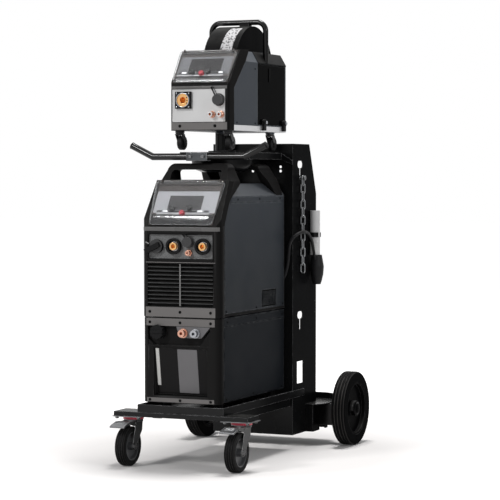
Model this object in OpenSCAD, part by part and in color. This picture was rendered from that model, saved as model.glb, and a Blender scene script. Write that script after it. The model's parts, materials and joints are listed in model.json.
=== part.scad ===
// Welding set on a cart: power source over a coolant unit on a two-wheel cart with a bottle column,
// and a wire feeder on a pivot above them. Millimetres, +Z up, front towards -Y.

/* [Cart] */
// Width over the rear wheels' caps
overall_w = 610; // [560:1:700]
// Diameter of each rear wheel
rear_wheel_d = 250; // [200:1:280]
// Width of a rear tyre
rear_wheel_w = 48; // [36:1:60]
// Place of the rear axle behind the middle
axle_y = 350; // [330:1:370]
// Diameter of the rear axle
axle_d = 20; // [16:1:25]
// Height of the bumper's top, which the tray stands on
bumper_top = 173; // [165:1:185]
// Width of the bumper channel
bumper_w = 465; // [440:1:520]
// Depth of the bumper channel
bumper_depth = 85; // [75:1:100]
// Height of the bumper channel
bumper_h = 15; // [12:1:20]
// Front of the cart, before the middle
cart_front = 413; // [405:1:425]
// Width of the tray
tray_w = 298; // [290:1:320]
// Height of the tray's upturned lip
tray_lip = 25; // [18:1:30]
// Length of the tray's side lips
tray_len = 655; // [630:1:680]
// Thickness of the cart's sheet steel
sheet = 3; // [2:0.5:4]

/* [Column] */
// Place of the column's panel behind the middle
column_y = 150; // [146:1:156]
// Height of the column's top edge
column_top = 1023; // [1015:1:1030]
// Depth of the column's side flanges
flange_depth = 207; // [190:1:220]
// Height at which the flanges start to narrow
flange_bend_z = 856; // [800:1:880]
// Depth of the flanges at their top
flange_top_depth = 145; // [120:1:160]
// Diameter of a keyhole's round part
keyhole_d = 24; // [20:1:30]
// How much longer than high a keyhole's round part is
keyhole_run = 20; // [10:2:24]
// Width of a keyhole's slot
keyhole_slot = 10; // [8:1:14]

/* [Castors] */
// Diameter of a front castor's wheel
castor_d = 125; // [110:1:128]
// Width of a front castor's wheel
castor_w = 34; // [28:1:40]
// Distance between the two front castors
castor_span = 377; // [350:1:390]
// How far the wheel trails its swivel
castor_trail = 38; // [30:1:42]

/* [Cabinet] */
// Width of the power source
source_w = 246; // [240:1:252]
// Width of the coolant unit
cooler_w = 242; // [236:1:248]
// Length of the side panels
panel_len = 480; // [460:1:481]
// Depth of the front mouldings
moulding_depth = 62; // [50:1:64]
// How far the front mouldings' rim stands proud of the sheets at each side
rim_out = 12; // [8:1:14]
// Depth of the front mouldings' rim
rim_depth = 36; // [30:1:44]
// Height of the feet under the coolant unit
foot_h = 31; // [26:1:40]
// Height of the coolant unit
cooler_h = 265; // [255:1:275]
// Height of the power source's straight side
source_side_h = 376; // [370:1:382]
// Rise of the power source's sloping shoulder
shoulder_rise = 39; // [30:1:45]
// Run of the power source's sloping shoulder
shoulder_run = 31; // [25:1:35]
// Thickness of the casing's sheet
skin = 2; // [1.5:0.5:3]

/* [Feeder] */
// Width of the wire feeder
feeder_w = 204; // [200:1:212]
// Length of the wire feeder
feeder_len = 465; // [450:1:480]
// Height of the feeder's underside
feeder_z = 1060; // [1056:1:1066]
// Height of the feeder's straight side
feeder_side_h = 223; // [215:1:230]
// Diameter of the spool guard
guard_d = 314; // [306:1:320]
// Width of the spool guard
guard_w = 116; // [110:1:124]
// Diameter of the hoop handle's tube
hoop_tube_d = 18; // [14:1:22]
// Height of the hoop handle's top
hoop_top = 1429; // [1422:1:1440]
// Diameter of a feeder castor's wheel
small_castor_d = 46; // [40:1:50]

/* [Handle] */
// Diameter of the push bar's tube
bar_d = 22; // [18:1:25]
// Length of the push bar's straight part
bar_straight = 320; // [280:1:340]
// Height of the push bar's middle
bar_z = 977; // [970:1:985]

/* [Hidden] */
$fn = 48;

// Clearances: a running fit's radial play, a gap between moving pieces, a cut's overshoot
play = 0.05;
gap = 0.4;
eps = 1;

// Cart
wheel_r = rear_wheel_d / 2;
cap_h = 5;
tyre_x = overall_w / 2 - cap_h - rear_wheel_w / 2;
hub_r = wheel_r - 36;
axle_half = tyre_x + rear_wheel_w / 2;
tray_z = bumper_top;
tray_front = cart_front - 2;
tray_rear = tray_len - tray_front;
tray_x = tray_w / 2;
floor_z = tray_z + sheet;
beam_z0 = 48;
beam_z1 = 139;
beam_x = tyre_x - rear_wheel_w / 2 - 8;
beam_front = axle_y - 85;
beam_rear = axle_y + 50;
shelf_x = 205;
shelf_rear = axle_y + 90;
shelf_front = beam_front - 5;
shelf_lip = 22;
seat_rise = 2;

// Column
col_x = tray_x - sheet;
seat_x = col_x - sheet - 18;
flange_rear = column_y + flange_depth;
flange_top_rear = column_y + flange_top_depth;
key_y = column_y + 64;
key_upper_z = 954;
key_lower_z = 448;
key_slot_l = 45;
window_z0 = 218;
window_z1 = 292;
window_y0 = key_y - 26;
window_y1 = key_y + 26;
bolt_hole_r = 4.5;
bolt_x = 101;
bolt_z = 932;
bolt_pitch = 14;
chain_pin_d = keyhole_slot - 2;

// Front castors
castor_r = castor_d / 2;
castor_x = castor_span / 2;
bumper_z0 = bumper_top - bumper_h;
swivel_y = -(cart_front - 52);
castor_y = swivel_y - castor_trail;
plate_t = 3;
race_h = 9;
kingpin_d = 12;
fork_t = 3;
fork_in = castor_w / 2 + 3;
castor_axle_d = 10;
pedal_pin_y = castor_y + 2;
pedal_pin_z = castor_d + 10;
pedal_pin_d = 5;
pedal_in = fork_in + fork_t + gap;

// Cabinet
cabinet_gap = 17;
cab_rear = column_y - cabinet_gap;
panel_y0 = cab_rear - panel_len;
cab_front = moulding_depth - panel_y0;
cooler_z0 = floor_z + foot_h;
seam_z = cooler_z0 + cooler_h;
source_z0 = seam_z + 4;
side_top = source_z0 + source_side_h;
roof_z = side_top + shoulder_rise;
cooler_x = cooler_w / 2;
source_x = source_w / 2;
roof_x = source_x - shoulder_run;
corner_r = 20;
rim_r = corner_r + 4;
wall = 3;
handle_top = roof_z + 65;

// Console: a flat panel on the front moulding's slope
slope_foot = [-cab_front + 1, source_z0 + 284];
slope_head = [-cab_front + 93, source_z0 + 427];
slope_run = slope_head - slope_foot;
slope_len = norm(slope_run);
slope_ang = atan2(slope_run[1], slope_run[0]);
console_w = 220;
console_t = 3;
cover_h = 14;
cover_wall = 2;
hinge_d = 4;
knob_r = 9;
knob_h = 9;
knob_shaft_d = 6;

// Front fittings of the power source
panel_z0 = source_z0 + 182;
panel_z1 = source_z0 + 258;
panel_x = 111;
switch_at = [-83, source_z0 + 220];
socket_x = [-23, 77];
socket_z = source_z0 + 221;
remote_at = [27, source_z0 + 235];
gas_at = [29, source_z0 + 201];
socket_r = 25;
socket_bore_d = 14;
socket_bore_l = 24;
switch_shaft_d = 8;
recess = 10;

// Coolant unit front
cap_at = [-77, cooler_z0 + 222];
cap_r = 23;
cap_l = 26;
neck_r = 15;
coupling_x = [13, 55];
coupling_z = cooler_z0 + 220;

// Feeder
feed_x = feeder_w / 2;
feed_front = -273;
feed_rear = feed_front + feeder_len;
feed_panel_y0 = feed_front + 47;
feed_side_top = feeder_z + feeder_side_h;
feed_rise = 35;
feed_run = 20;
feed_roof = feed_side_top + feed_rise;
feed_roof_x = feed_x - feed_run;
door_y0 = feed_front + 232;
rail_h = 18;
rail_t = 1.2;
pivot_y = -96;
pivot_d = 24;
guard_y = 35;
guard_z = feed_roof - 68;
guard_x0 = -60;
guard_x1 = guard_x0 + guard_w;
spool_r = guard_d / 2 - 7;
spool_w = 100;
spool_x0 = guard_x0 + 8;
spool_hub_d = 50;
feed_foot = [feed_front + 6, feeder_z + 148];
feed_head = [feed_front + 91, feeder_z + 257];
feed_slope = feed_head - feed_foot;
feed_slope_len = norm(feed_slope);
feed_slope_ang = atan2(feed_slope[1], feed_slope[0]);
feed_console_w = 192;
euro_at = [-51, feeder_z + 96];
euro_bore_d = 20;
euro_bore_l = 40;
feed_remote_at = [72, feeder_z + 96];
feed_coupling_x = [49, 80];
feed_coupling_z = feeder_z + 50;
hoop_x = 97;
hoop_r = 30;
hoop_z = hoop_top - hoop_tube_d / 2;
small_x = 85;
small_front_y = feed_front + 39;
small_rear_y = 99;
small_trail = 16;
small_r = small_castor_d / 2;
small_w = 17;
small_z = feeder_z - 61 + small_r;
small_axle_d = 5;
small_kingpin_d = 8;

// Platform and push bar
deck_z = 992;
deck_x = 72;
deck_wide_x = 105;
deck_front = -262;
deck_t = 22;
dish_r = 100;
dish_z = 928;
bar_y = deck_front - bar_d / 2 - 3;
bar_tip_x = 235;
bar_tip_rise = 36;
post_d = 44;
post_top = feeder_z - 8;

// Lead and plug: the connector stands in a clip on the right flange
plug_d = 34;
plug_h = 150;
plug_z = 648;
plug_at = [col_x + plug_d / 2 + 1, flange_rear - 55];
lead_d = 10;
gland_at = [72, cab_rear + 8.5, 560];
lead_points = [[82, cab_rear + 8.5, 560], [96, cab_rear + 8.5, 561], [108, cab_rear + 8.5, 567],
               [119, cab_rear + 8.5, 580], [126, cab_rear + 8.5, 598], [131, cab_rear + 8.5, 620],
               [134, cab_rear + 8.5, 645], [136, cab_rear + 8, 668], [140, cab_rear + 7, 690],
               [149, cab_rear + 8, 708], [160, cab_rear + 17, 720], [168, cab_rear + 32, 727],
               [173, cab_rear + 52, 729], [175, cab_rear + 76, 724], [175, cab_rear + 98, 711],
               [174, cab_rear + 118, 692], [172, cab_rear + 134, 669], [171, cab_rear + 147, 645],
               [171, cab_rear + 158, 622]];
boot_r = 24;
boot_h = 100;

module bore_x(x0, x1, d) { translate([x0, 0, 0]) rotate([0, 90, 0]) cylinder(d = d, h = x1 - x0); }
module bore_y(y0, y1, d) { translate([0, y0, 0]) rotate([-90, 0, 0]) cylinder(d = d, h = y1 - y0); }
// A side profile, given as [y, z] points, drawn out along X
module side_plate(x0, x1, pts) {
    translate([x0, 0, 0]) rotate([90, 0, 90]) linear_extrude(x1 - x0) polygon(pts);
}
// A front profile, made by the child in [x, z], drawn out along Y
module front_plate(y0, y1) { translate([0, y1, 0]) rotate([90, 0, 0]) linear_extrude(y1 - y0) children(); }

// ---- Cart ----
module tray() color("#202224") {
    translate([-tray_x, -tray_front, tray_z]) cube([tray_w, tray_front + column_y, sheet]);
    for (x = [-tray_x, tray_x - sheet])
        translate([x, -tray_front, tray_z]) cube([sheet, tray_len, tray_lip]);
    translate([-tray_x, -tray_front, tray_z]) cube([tray_w, sheet, tray_lip]);
    // Rails under the floor, from the bumper to the column
    for (x = [-tray_x + 12, tray_x - 42])
        translate([x, -cart_front + bumper_depth, tray_z - 28])
            cube([30, column_y + cart_front - bumper_depth, 28]);
}

module bumper() color("#202224") difference() {
    translate([-bumper_w / 2, -cart_front, bumper_z0]) cube([bumper_w, bumper_depth, bumper_h]);
    translate([-bumper_w / 2 + sheet, -cart_front + sheet, bumper_z0 - eps])
        cube([bumper_w - 2 * sheet, bumper_depth - 2 * sheet, bumper_h - sheet + eps]);
}

module keyhole(z) {
    for (y = [-keyhole_run / 2, keyhole_run / 2])
        translate([0, key_y + y, z]) bore_x(col_x - sheet - eps, col_x + eps, keyhole_d);
    translate([col_x - sheet - eps, key_y - keyhole_run / 2, z - keyhole_d / 2])
        cube([sheet + 2 * eps, keyhole_run, keyhole_d]);
    translate([col_x - sheet - eps, key_y - keyhole_slot / 2, z - key_slot_l])
        cube([sheet + 2 * eps, keyhole_slot, key_slot_l]);
    translate([0, key_y, z - key_slot_l]) bore_x(col_x - sheet - eps, col_x + eps, keyhole_slot);
}

module column_flange() difference() {
    side_plate(col_x - sheet, col_x,
               [[column_y, beam_z0], [shelf_front - gap, beam_z0], [shelf_front - gap, beam_z1 + 4],
                [flange_rear, beam_z1 + 4], [flange_rear, flange_bend_z], [flange_top_rear, column_top],
                [column_y, column_top]]);
    keyhole(key_upper_z);
    keyhole(key_lower_z);
    translate([col_x - sheet - eps, window_y0, window_z0])
        cube([sheet + 2 * eps, window_y1 - window_y0, window_z1 - window_z0]);
}

module column() color("#1b1c1e") {
    difference() {
        translate([-col_x + sheet, column_y, beam_z0])
            cube([2 * (col_x - sheet), sheet, column_top - beam_z0]);
        for (x = [-bolt_x, bolt_x], z = [bolt_z, bolt_z + bolt_pitch])
            translate([x, 0, z]) bore_y(column_y - eps, column_y + sheet + eps, 2 * bolt_hole_r);
        translate([0, 0, bolt_z]) bore_y(column_y - eps, column_y + sheet + eps, 2 * bolt_hole_r);
    }
    column_flange();
    mirror([1, 0, 0]) column_flange();
    // Clip that the connector stands in
    difference() {
        translate([plug_at[0], plug_at[1], plug_z + 60]) cylinder(d = plug_d + 7, h = 16);
        translate([plug_at[0], plug_at[1], plug_z + 60 - eps])
            cylinder(d = plug_d + 2 * play, h = 16 + 2 * eps);
        translate([plug_at[0] + 2, plug_at[1] - 11, plug_z + 60 - eps]) cube([plug_d, 22, 16 + 2 * eps]);
        translate([0, plug_at[1] - plug_d, plug_z + 60 - eps]) cube([col_x, 2 * plug_d, 16 + 2 * eps]);
    }
}

// Flat outline of the bottle shelf, inset by d
module shelf_outline(d) {
    depth = shelf_rear - shelf_front;
    translate([-shelf_x + 70, shelf_front + d]) square([2 * shelf_x - 140, depth - 2 * d]);
    translate([-shelf_x + 50, shelf_front + d]) square([2 * shelf_x - 100, 60]);
    translate([-shelf_x + d, shelf_front + 50]) square([2 * (shelf_x - d), depth - 120]);
    for (x = [-1, 1]) {
        translate([x * (shelf_x - 50), shelf_front + 50]) circle(50 - d);
        translate([x * (shelf_x - 70), shelf_rear - 70]) circle(70 - d);
    }
}

module bottle_shelf() color("#202224") {
    translate([0, 0, beam_z1]) linear_extrude(4) shelf_outline(0);
    // Pressed seat of the bottle, between the flanges
    translate([-seat_x, shelf_front + 12, beam_z1 + 2])
        cube([2 * seat_x, shelf_rear - shelf_front - 30, 2 + seat_rise]);
    // Upturned lip round the rear half
    translate([0, 0, beam_z1 + 4]) linear_extrude(shelf_lip) difference() {
        shelf_outline(0);
        shelf_outline(sheet);
        translate([-shelf_x, shelf_front - eps]) square([2 * shelf_x, flange_rear - shelf_front + 12]);
    }
}

beam_mid_x = 172;
arm_y0 = axle_y - 28;
arm_y1 = axle_y + 30;
module axle_beam() color("#202224") {
    difference() {
        union() {
            translate([-beam_mid_x, beam_front, beam_z0])
                cube([2 * beam_mid_x, beam_rear - beam_front, beam_z1 - beam_z0 - gap / 4]);
            translate([-beam_x, arm_y0, beam_z0 + 18])
                cube([2 * beam_x, arm_y1 - arm_y0, beam_z1 - beam_z0 - 18 - gap / 4]);
        }
        translate([-beam_mid_x + sheet, beam_front + sheet, beam_z0 - eps])
            cube([2 * (beam_mid_x - sheet), beam_rear - beam_front - 2 * sheet, beam_z1 - beam_z0 - sheet]);
        translate([-beam_x + sheet, arm_y0 + sheet, beam_z0 - eps])
            cube([2 * (beam_x - sheet), arm_y1 - arm_y0 - 2 * sheet, beam_z1 - beam_z0 - sheet]);
        translate([0, axle_y, wheel_r]) bore_x(-beam_x - eps, beam_x + eps, axle_d + 2 * play);
    }
    // Axle rod through both wheels
    translate([0, axle_y, wheel_r]) bore_x(-axle_half + 1, axle_half - 1, axle_d);
}

// Half profile of a solid tyre with three tread grooves: radius, then width
module tyre(r, r_in, w, groove, round_r) {
    rotate([0, 90, 0]) rotate_extrude($fn = 96) difference() {
        union() {
            translate([r_in, -w / 2 + round_r]) square([r - r_in, w - 2 * round_r]);
            translate([r_in, -w / 2]) square([r - r_in - round_r, w]);
            for (s = [-1, 1]) translate([r - round_r, s * (w / 2 - round_r)]) circle(round_r, $fn = 24);
        }
        for (s = [-1, 0, 1]) translate([r - groove, s * w / 4.2 - groove / 2]) square([groove + eps, groove]);
    }
}

module rear_wheel(s) {
    translate([s * tyre_x, axle_y, wheel_r]) {
        color("#1c1c1c") tyre(wheel_r, hub_r, rear_wheel_w, 3, 8);
        color("#26282a") rotate([0, 90 * s, 0]) difference() {
            union() {
                // Rim, web and boss
                difference() {
                    translate([0, 0, -rear_wheel_w / 2 + 2]) cylinder(r = hub_r - 0.1, h = rear_wheel_w - 4);
                    translate([0, 0, 8]) cylinder(r = hub_r - 6, h = rear_wheel_w);
                    translate([0, 0, -rear_wheel_w]) cylinder(r = hub_r - 6, h = rear_wheel_w - 6);
                }
                translate([0, 0, -rear_wheel_w / 2 - 8 + gap]) cylinder(r = 26, h = rear_wheel_w + 8 - gap);
            }
            translate([0, 0, -rear_wheel_w]) cylinder(d = axle_d + 2 * play, h = 2 * rear_wheel_w);
        }
        // Push-on cap over the axle's end
        color("#151515") rotate([0, 90 * s, 0]) translate([0, 0, rear_wheel_w / 2]) intersection() {
            cylinder(r = 21, h = cap_h);
            translate([0, 0, cap_h - 50]) sphere(50, $fn = 96);
        }
    }
}
module rear_wheel_right() rear_wheel(1);
module rear_wheel_left() rear_wheel(-1);

// ---- Front castors ----
module castor_mounts() color("#b9bcbf") for (s = [-1, 1]) translate([s * castor_x, swivel_y, 0]) {
    difference() {
        translate([-50, -51, bumper_z0 - plate_t]) cube([100, 83, plate_t]);
        for (x = [-38, 38], y = [-40, 22]) translate([x, y, bumper_z0 - plate_t - eps])
            cylinder(d = 8.5, h = plate_t + 2 * eps);
    }
    translate([0, 0, bumper_z0 - plate_t - race_h]) cylinder(d = 54, h = race_h);
    translate([0, 0, bumper_z0 - plate_t - race_h - 14]) cylinder(d = kingpin_d, h = 14);
}

crown_z1 = bumper_z0 - plate_t - race_h - gap;
crown_z0 = crown_z1 - 8;
module castor_fork(s) translate([s * castor_x, swivel_y, 0]) {
    color("#b9bcbf") {
        difference() {
            union() {
                translate([0, 0, crown_z0]) cylinder(d = 62, h = crown_z1 - crown_z0);
                for (x = [-fork_in - fork_t, fork_in]) {
                    side_plate(x, x + fork_t, [[20, crown_z0 + 4], [-24, crown_z0 + 4],
                                               [-castor_trail - 13, castor_r], [-castor_trail + 13, castor_r],
                                               [16, crown_z0 - 28]]);
                    side_plate(x, x + fork_t, [[-16, crown_z0 + 4], [-castor_trail - 8, crown_z0 + 4],
                                               [-castor_trail - 8, pedal_pin_z - 8], [-20, pedal_pin_z - 12]]);
                    translate([0, -castor_trail, castor_r]) bore_x(x, x + fork_t, 26);
                }
            }
            translate([0, 0, crown_z0 - eps])
                cylinder(d = kingpin_d + 2 * play, h = crown_z1 - crown_z0 + 2 * eps);
            translate([0, -castor_trail, castor_r])
                bore_x(-fork_in - fork_t - eps, fork_in + fork_t + eps, castor_axle_d);
            translate([0, pedal_pin_y - swivel_y, pedal_pin_z])
                bore_x(-fork_in - fork_t - eps, fork_in + fork_t + eps, pedal_pin_d);
        }
        translate([0, -castor_trail, castor_r]) {
            bore_x(-fork_in - fork_t - 5, fork_in + fork_t + 5, castor_axle_d - 0.1);
            for (x = [-fork_in - fork_t - 5.1, fork_in + fork_t + 0.1])
                translate([x, 0, 0]) difference() {
                    rotate([0, 90, 0]) cylinder(d = 19, h = 5, $fn = 6);
                    bore_x(-eps, 5 + eps, castor_axle_d);
                }
        }
        translate([0, pedal_pin_y - swivel_y, pedal_pin_z])
            bore_x(-pedal_in - 4, pedal_in + 4, pedal_pin_d - 0.1);
    }
    // Dust ring on the crown
    color("#d8203c") translate([0, 0, crown_z1 + 0.1]) difference() {
        cylinder(d = 66, h = race_h - 1);
        translate([0, 0, -eps]) cylinder(d = 55, h = race_h + eps);
    }
}
module castor_fork_right() castor_fork(1);
module castor_fork_left() castor_fork(-1);

module castor_wheel(s) translate([s * castor_x, castor_y, castor_r]) {
    color("#1c1c1c") tyre(castor_r, castor_r - 17, castor_w, 2, 6);
    color("#8d9093") rotate([0, 90, 0]) difference() {
        union() {
            difference() {
                translate([0, 0, -castor_w / 2 + 2]) cylinder(r = castor_r - 17.1, h = castor_w - 4);
                for (z = [4, -castor_w - 4]) translate([0, 0, z]) cylinder(r = castor_r - 21, h = castor_w);
            }
            translate([0, 0, -fork_in + gap]) cylinder(r = 13, h = 2 * (fork_in - gap));
        }
        translate([0, 0, -castor_w]) cylinder(d = castor_axle_d, h = 2 * castor_w);
    }
}
module castor_wheel_right() castor_wheel(1);
module castor_wheel_left() castor_wheel(-1);

pedal_tip = -cart_front - 62;
module brake_pedal(s) color("#a9adb1") translate([s * castor_x, 0, 0]) {
    difference() {
        for (x = [-pedal_in - 2.5, pedal_in])
            side_plate(x, x + 2.5, [[pedal_pin_y + 6, pedal_pin_z - 5], [pedal_pin_y + 6, pedal_pin_z + 5],
                                    [pedal_pin_y - 12, pedal_pin_z + 7], [pedal_tip + 42, pedal_pin_z + 8],
                                    [pedal_tip + 42, pedal_pin_z - 1], [pedal_pin_y - 4, pedal_pin_z - 8]]);
        translate([0, pedal_pin_y, pedal_pin_z]) bore_x(-pedal_in - 4, pedal_in + 4, pedal_pin_d);
    }
    side_plate(-pedal_in - 2.5, pedal_in + 2.5,
               [[pedal_pin_y - 14, pedal_pin_z + 4], [pedal_pin_y - 14, pedal_pin_z + 7],
                [pedal_tip + 40, pedal_pin_z + 8], [pedal_tip + 12, pedal_pin_z + 2],
                [pedal_tip, pedal_pin_z - 3], [pedal_tip, pedal_pin_z - 8],
                [pedal_tip + 12, pedal_pin_z - 4], [pedal_tip + 38, pedal_pin_z + 4]]);
}
module brake_pedal_right() brake_pedal(1);
module brake_pedal_left() brake_pedal(-1);

// ---- Platform, push bar, chain ----
// Outline of the pan from its flat bottom to its rim, grown by d
function dish_profile(d) = [[dish_r - 34 + d / 2, dish_z - d], [dish_r - 14 + d * 0.7, dish_z + 8 - d * 0.7],
    [dish_r - 3 + d, dish_z + 22 - d / 3]];
function deck_plan(d) = [[-deck_x + d, deck_front + d], [deck_x - d, deck_front + d],
    [deck_x - d, pivot_y - 15 + d], [deck_wide_x - d, pivot_y - 15 + d], [deck_wide_x - d, column_y],
    [-deck_wide_x + d, column_y], [-deck_wide_x + d, pivot_y - 15 + d], [-deck_x + d, pivot_y - 15 + d]];

module platform() color("#1b1c1e") {
    difference() {
        translate([0, 0, deck_z - deck_t]) linear_extrude(deck_t) polygon(deck_plan(0));
        translate([0, 0, deck_z - deck_t - eps])
            linear_extrude(deck_t - sheet + eps) polygon(deck_plan(sheet));
    }
    // Dished pan under the pivot
    translate([0, pivot_y, 0]) rotate_extrude($fn = 96) difference() {
        polygon(concat([[0, dish_z]], dish_profile(0),
                       [[dish_r, deck_z - deck_t - 0.1], [0, deck_z - deck_t - 0.1]]));
        polygon(concat([[0, dish_z + sheet]], dish_profile(-sheet),
                       [[dish_r - sheet, deck_z], [0, deck_z]]));
    }
    // Post inside the dish, up to the feeder
    translate([0, pivot_y, dish_z + sheet + 0.1])
        cylinder(d = post_d, h = deck_z - sheet - dish_z - sheet - 0.2);
    translate([0, pivot_y, deck_z + 0.1]) {
        cylinder(d = 90, h = 5);
        cylinder(d = post_d, h = post_top - deck_z - 0.1);
        cylinder(d = pivot_d, h = post_top + 34 - deck_z);
    }
    // Gussets on the column
    for (s = [0, 1]) mirror([s, 0, 0]) front_plate(column_y - sheet, column_y - 0.1)
        polygon([[deck_wide_x + 0.1, deck_z], [col_x, deck_z - 25], [col_x, deck_z - 40],
                 [deck_wide_x + 0.1, deck_z - deck_t]]);
}

module bar_half(s) {
    tip = [bar_tip_x - bar_straight / 2, bar_tip_rise];
    bend = atan2(tip[1], tip[0]);
    mirror([s, 0, 0]) translate([bar_straight / 2, 0, 0]) {
        sphere(d = bar_d);
        rotate([0, -bend, 0]) rotate([0, 90, 0]) cylinder(d = bar_d, h = norm(tip));
    }
}
module push_bar() {
    color("#1b1c1e") translate([0, bar_y, bar_z]) {
        bore_x(-bar_straight / 2, bar_straight / 2, bar_d);
        for (s = [0, 1]) bar_half(s);
    }
    // Saddle clamp on the platform's front
    color("#a9adb1") translate([0, bar_y, bar_z]) difference() {
        translate([-36, -bar_d / 2 - 3, -13.5]) cube([72, bar_d + 6 - 0.1, 27]);
        bore_x(-36 - eps, 36 + eps, bar_d + 0.2);
        for (x = [-22, 22]) translate([x, -bar_d / 2 - 3 - eps, 0]) {
            translate([-7, 0, -3]) cube([14, 2.4 + eps, 6]);
        }
    }
}

// Chain: a pin in the right upper keyhole, and links that hang from it
link_wire = 5;
link_mid_r = 7;
link_side = 18;
link_pitch = 2 * link_mid_r + link_side - link_wire - 0.3;
link_count = 12;
chain_x = col_x + link_mid_r + link_wire / 2 + gap;
pin_z = key_upper_z - key_slot_l;
module chain_link() {
    for (s = [0, 1]) mirror([0, 0, s]) translate([0, 0, link_side / 2]) rotate([90, 0, 0])
        rotate_extrude(angle = 180, $fn = 32) translate([link_mid_r, 0]) circle(d = link_wire, $fn = 16);
    for (x = [-link_mid_r, link_mid_r]) translate([x, 0, -link_side / 2])
        cylinder(d = link_wire, h = link_side, $fn = 16);
}
module chain() color("#9a9da0") {
    translate([0, key_y, pin_z]) {
        bore_x(col_x - sheet - 6, col_x - sheet - gap, 20);
        bore_x(col_x - sheet - 6, chain_x + 6, chain_pin_d);
        bore_x(col_x - sheet - 6, col_x, keyhole_slot - 2 * gap);
        bore_x(chain_x + 6, chain_x + 9, 16);
    }
    for (i = [0:link_count - 1])
        translate([chain_x, key_y, pin_z + chain_pin_d / 2 + 0.2 - i * link_pitch
                                  - (link_side / 2 + link_mid_r - link_wire / 2)])
            rotate([0, 0, i % 2 == 0 ? 90 : 0]) chain_link();
}

// ---- Lead, boot and connector ----
lead_n = len(lead_points);
function unit(v) = v / norm(v);
function lead_dir(i) = unit(lead_points[min(i + 1, lead_n - 1)] - lead_points[max(i - 1, 0)]);
function lead_ring(i) =
    let (t = lead_dir(i), u = unit(cross(t, [0.1, 0.2, 1])), v = cross(t, u))
    [for (k = [0:9]) lead_points[i] + lead_d / 2 * (cos(36 * k) * u + sin(36 * k) * v)];
module accessory_lead() color("#141414")
    polyhedron(points = [for (i = [0:lead_n - 1]) each lead_ring(i)],
               faces = concat([[for (k = [0:9]) k]],
                              [for (i = [0:lead_n - 2], k = [0:9])
                                  [i * 10 + k, (i + 1) * 10 + k, (i + 1) * 10 + (k + 1) % 10, i * 10 + (k + 1) % 10]],
                              [[for (k = [9:-1:0]) (lead_n - 1) * 10 + k]]));
module accessory_plug() {
    color("#b5b7b9") translate([plug_at[0], plug_at[1], plug_z]) difference() {
        cylinder(d = plug_d, h = plug_h);
        translate([0, 0, plug_h - 30]) cylinder(d = plug_d - 6, h = 30 + eps);
    }
    color("#141414") translate([plug_at[0] + 7, plug_at[1], plug_z - boot_h]) rotate_extrude()
        polygon([[0, 0], [13, 0], [17, 12], [boot_r - 2, 34], [boot_r, 60], [boot_r - 4, 84], [17, boot_h - 0.1],
                 [0, boot_h - 0.1]]);
}

// ---- Coolant unit ----
// Plan of a front moulding: square at the back, round at its two front corners
module moulding_plan(hx, y0, y1, r) {
    translate([-hx, y0 + r]) square([2 * hx, y1 - y0 - r]);
    translate([-hx + r, y0]) square([2 * (hx - r), r + 1]);
    for (x = [-hx + r, hx - r]) translate([x, y0 + r]) circle(r);
}

module cooler_chassis() color("#3a3c3f") {
    inner = cooler_x - skin - 0.1;
    translate([-inner, panel_y0, cooler_z0]) cube([2 * inner, panel_len - 2, 3]);
    translate([-inner, cab_rear - 5, cooler_z0]) cube([2 * inner, 3, cooler_h - skin - 0.1]);
    for (x = [-90, 90], y = [panel_y0 + 30, cab_rear - 40]) translate([x, y, floor_z + 0.1])
        cylinder(r = 14, h = foot_h - 0.2);
}

module cooler_panels() color("#33373b") difference() {
    translate([-cooler_x, panel_y0, cooler_z0]) cube([2 * cooler_x, panel_len, cooler_h]);
    translate([-cooler_x + skin, panel_y0 - eps, cooler_z0 - eps])
        cube([2 * (cooler_x - skin), panel_len + 2 * eps, cooler_h - skin + eps]);
}

window_foot = [-cab_front + 25, cooler_z0 + 21];
window_head = [-cab_front + 3, cooler_z0 + 174];
module coupling_shape() polygon([[-14, cooler_z0 + 245], [112, cooler_z0 + 245], [74, cooler_z0 + 204],
                                 [-2, cooler_z0 + 204]]);
module screw_holes(z, xs, y) for (x = xs) translate([x, 0, z]) bore_y(y - eps, y + 6, 8);

module cooler_front() color("#1a1b1d") {
    difference() {
        translate([0, 0, cooler_z0]) linear_extrude(cooler_h) {
            moulding_plan(cooler_x, -cab_front, panel_y0 - 0.1, corner_r);
            moulding_plan(cooler_x + rim_out, -cab_front, -cab_front + rim_depth, rim_r);
        }
        // Hollow from behind
        translate([-cooler_x + wall, -cab_front + 30, cooler_z0 + wall])
            cube([2 * (cooler_x - wall), moulding_depth, cooler_h - 2 * wall]);
        // Leaning lower window
        side_plate(-93, 93, [[-cab_front - eps, window_foot[1]], window_foot, window_head,
                             [-cab_front - eps, window_head[1] + 4]]);
        // Recess round the coupling panel and the filler
        front_plate(-cab_front - eps, -cab_front + 14) difference() {
            translate([-112, cooler_z0 + 180]) square([214, 67]);
            coupling_shape();
        }
        screw_holes(seam_z - 13, [-105, 0, 105], -cab_front);
        screw_holes(cooler_z0 + 8, [-105, 0, 105], -cab_front);
    }
    translate([cap_at[0], 0, cap_at[1]]) difference() {
        bore_y(-cab_front - 2, -cab_front + 14, 2 * neck_r);
        bore_y(-cab_front - 3, -cab_front + 12, 2 * neck_r - 5);
    }
}

module filler_cap() color("#111214") translate([cap_at[0], 0, cap_at[1]]) difference() {
    union() {
        bore_y(-cab_front - cap_l + 13, -cab_front + 13, 2 * cap_r - 4);
        for (a = [0:30:330]) rotate([0, a, 0]) translate([cap_r - 3, 0, 0])
            bore_y(-cab_front - cap_l + 13, -cab_front + 10, 6);
    }
    bore_y(-cab_front - 2 - gap, -cab_front + 14, 2 * (neck_r + play));
}

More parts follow.
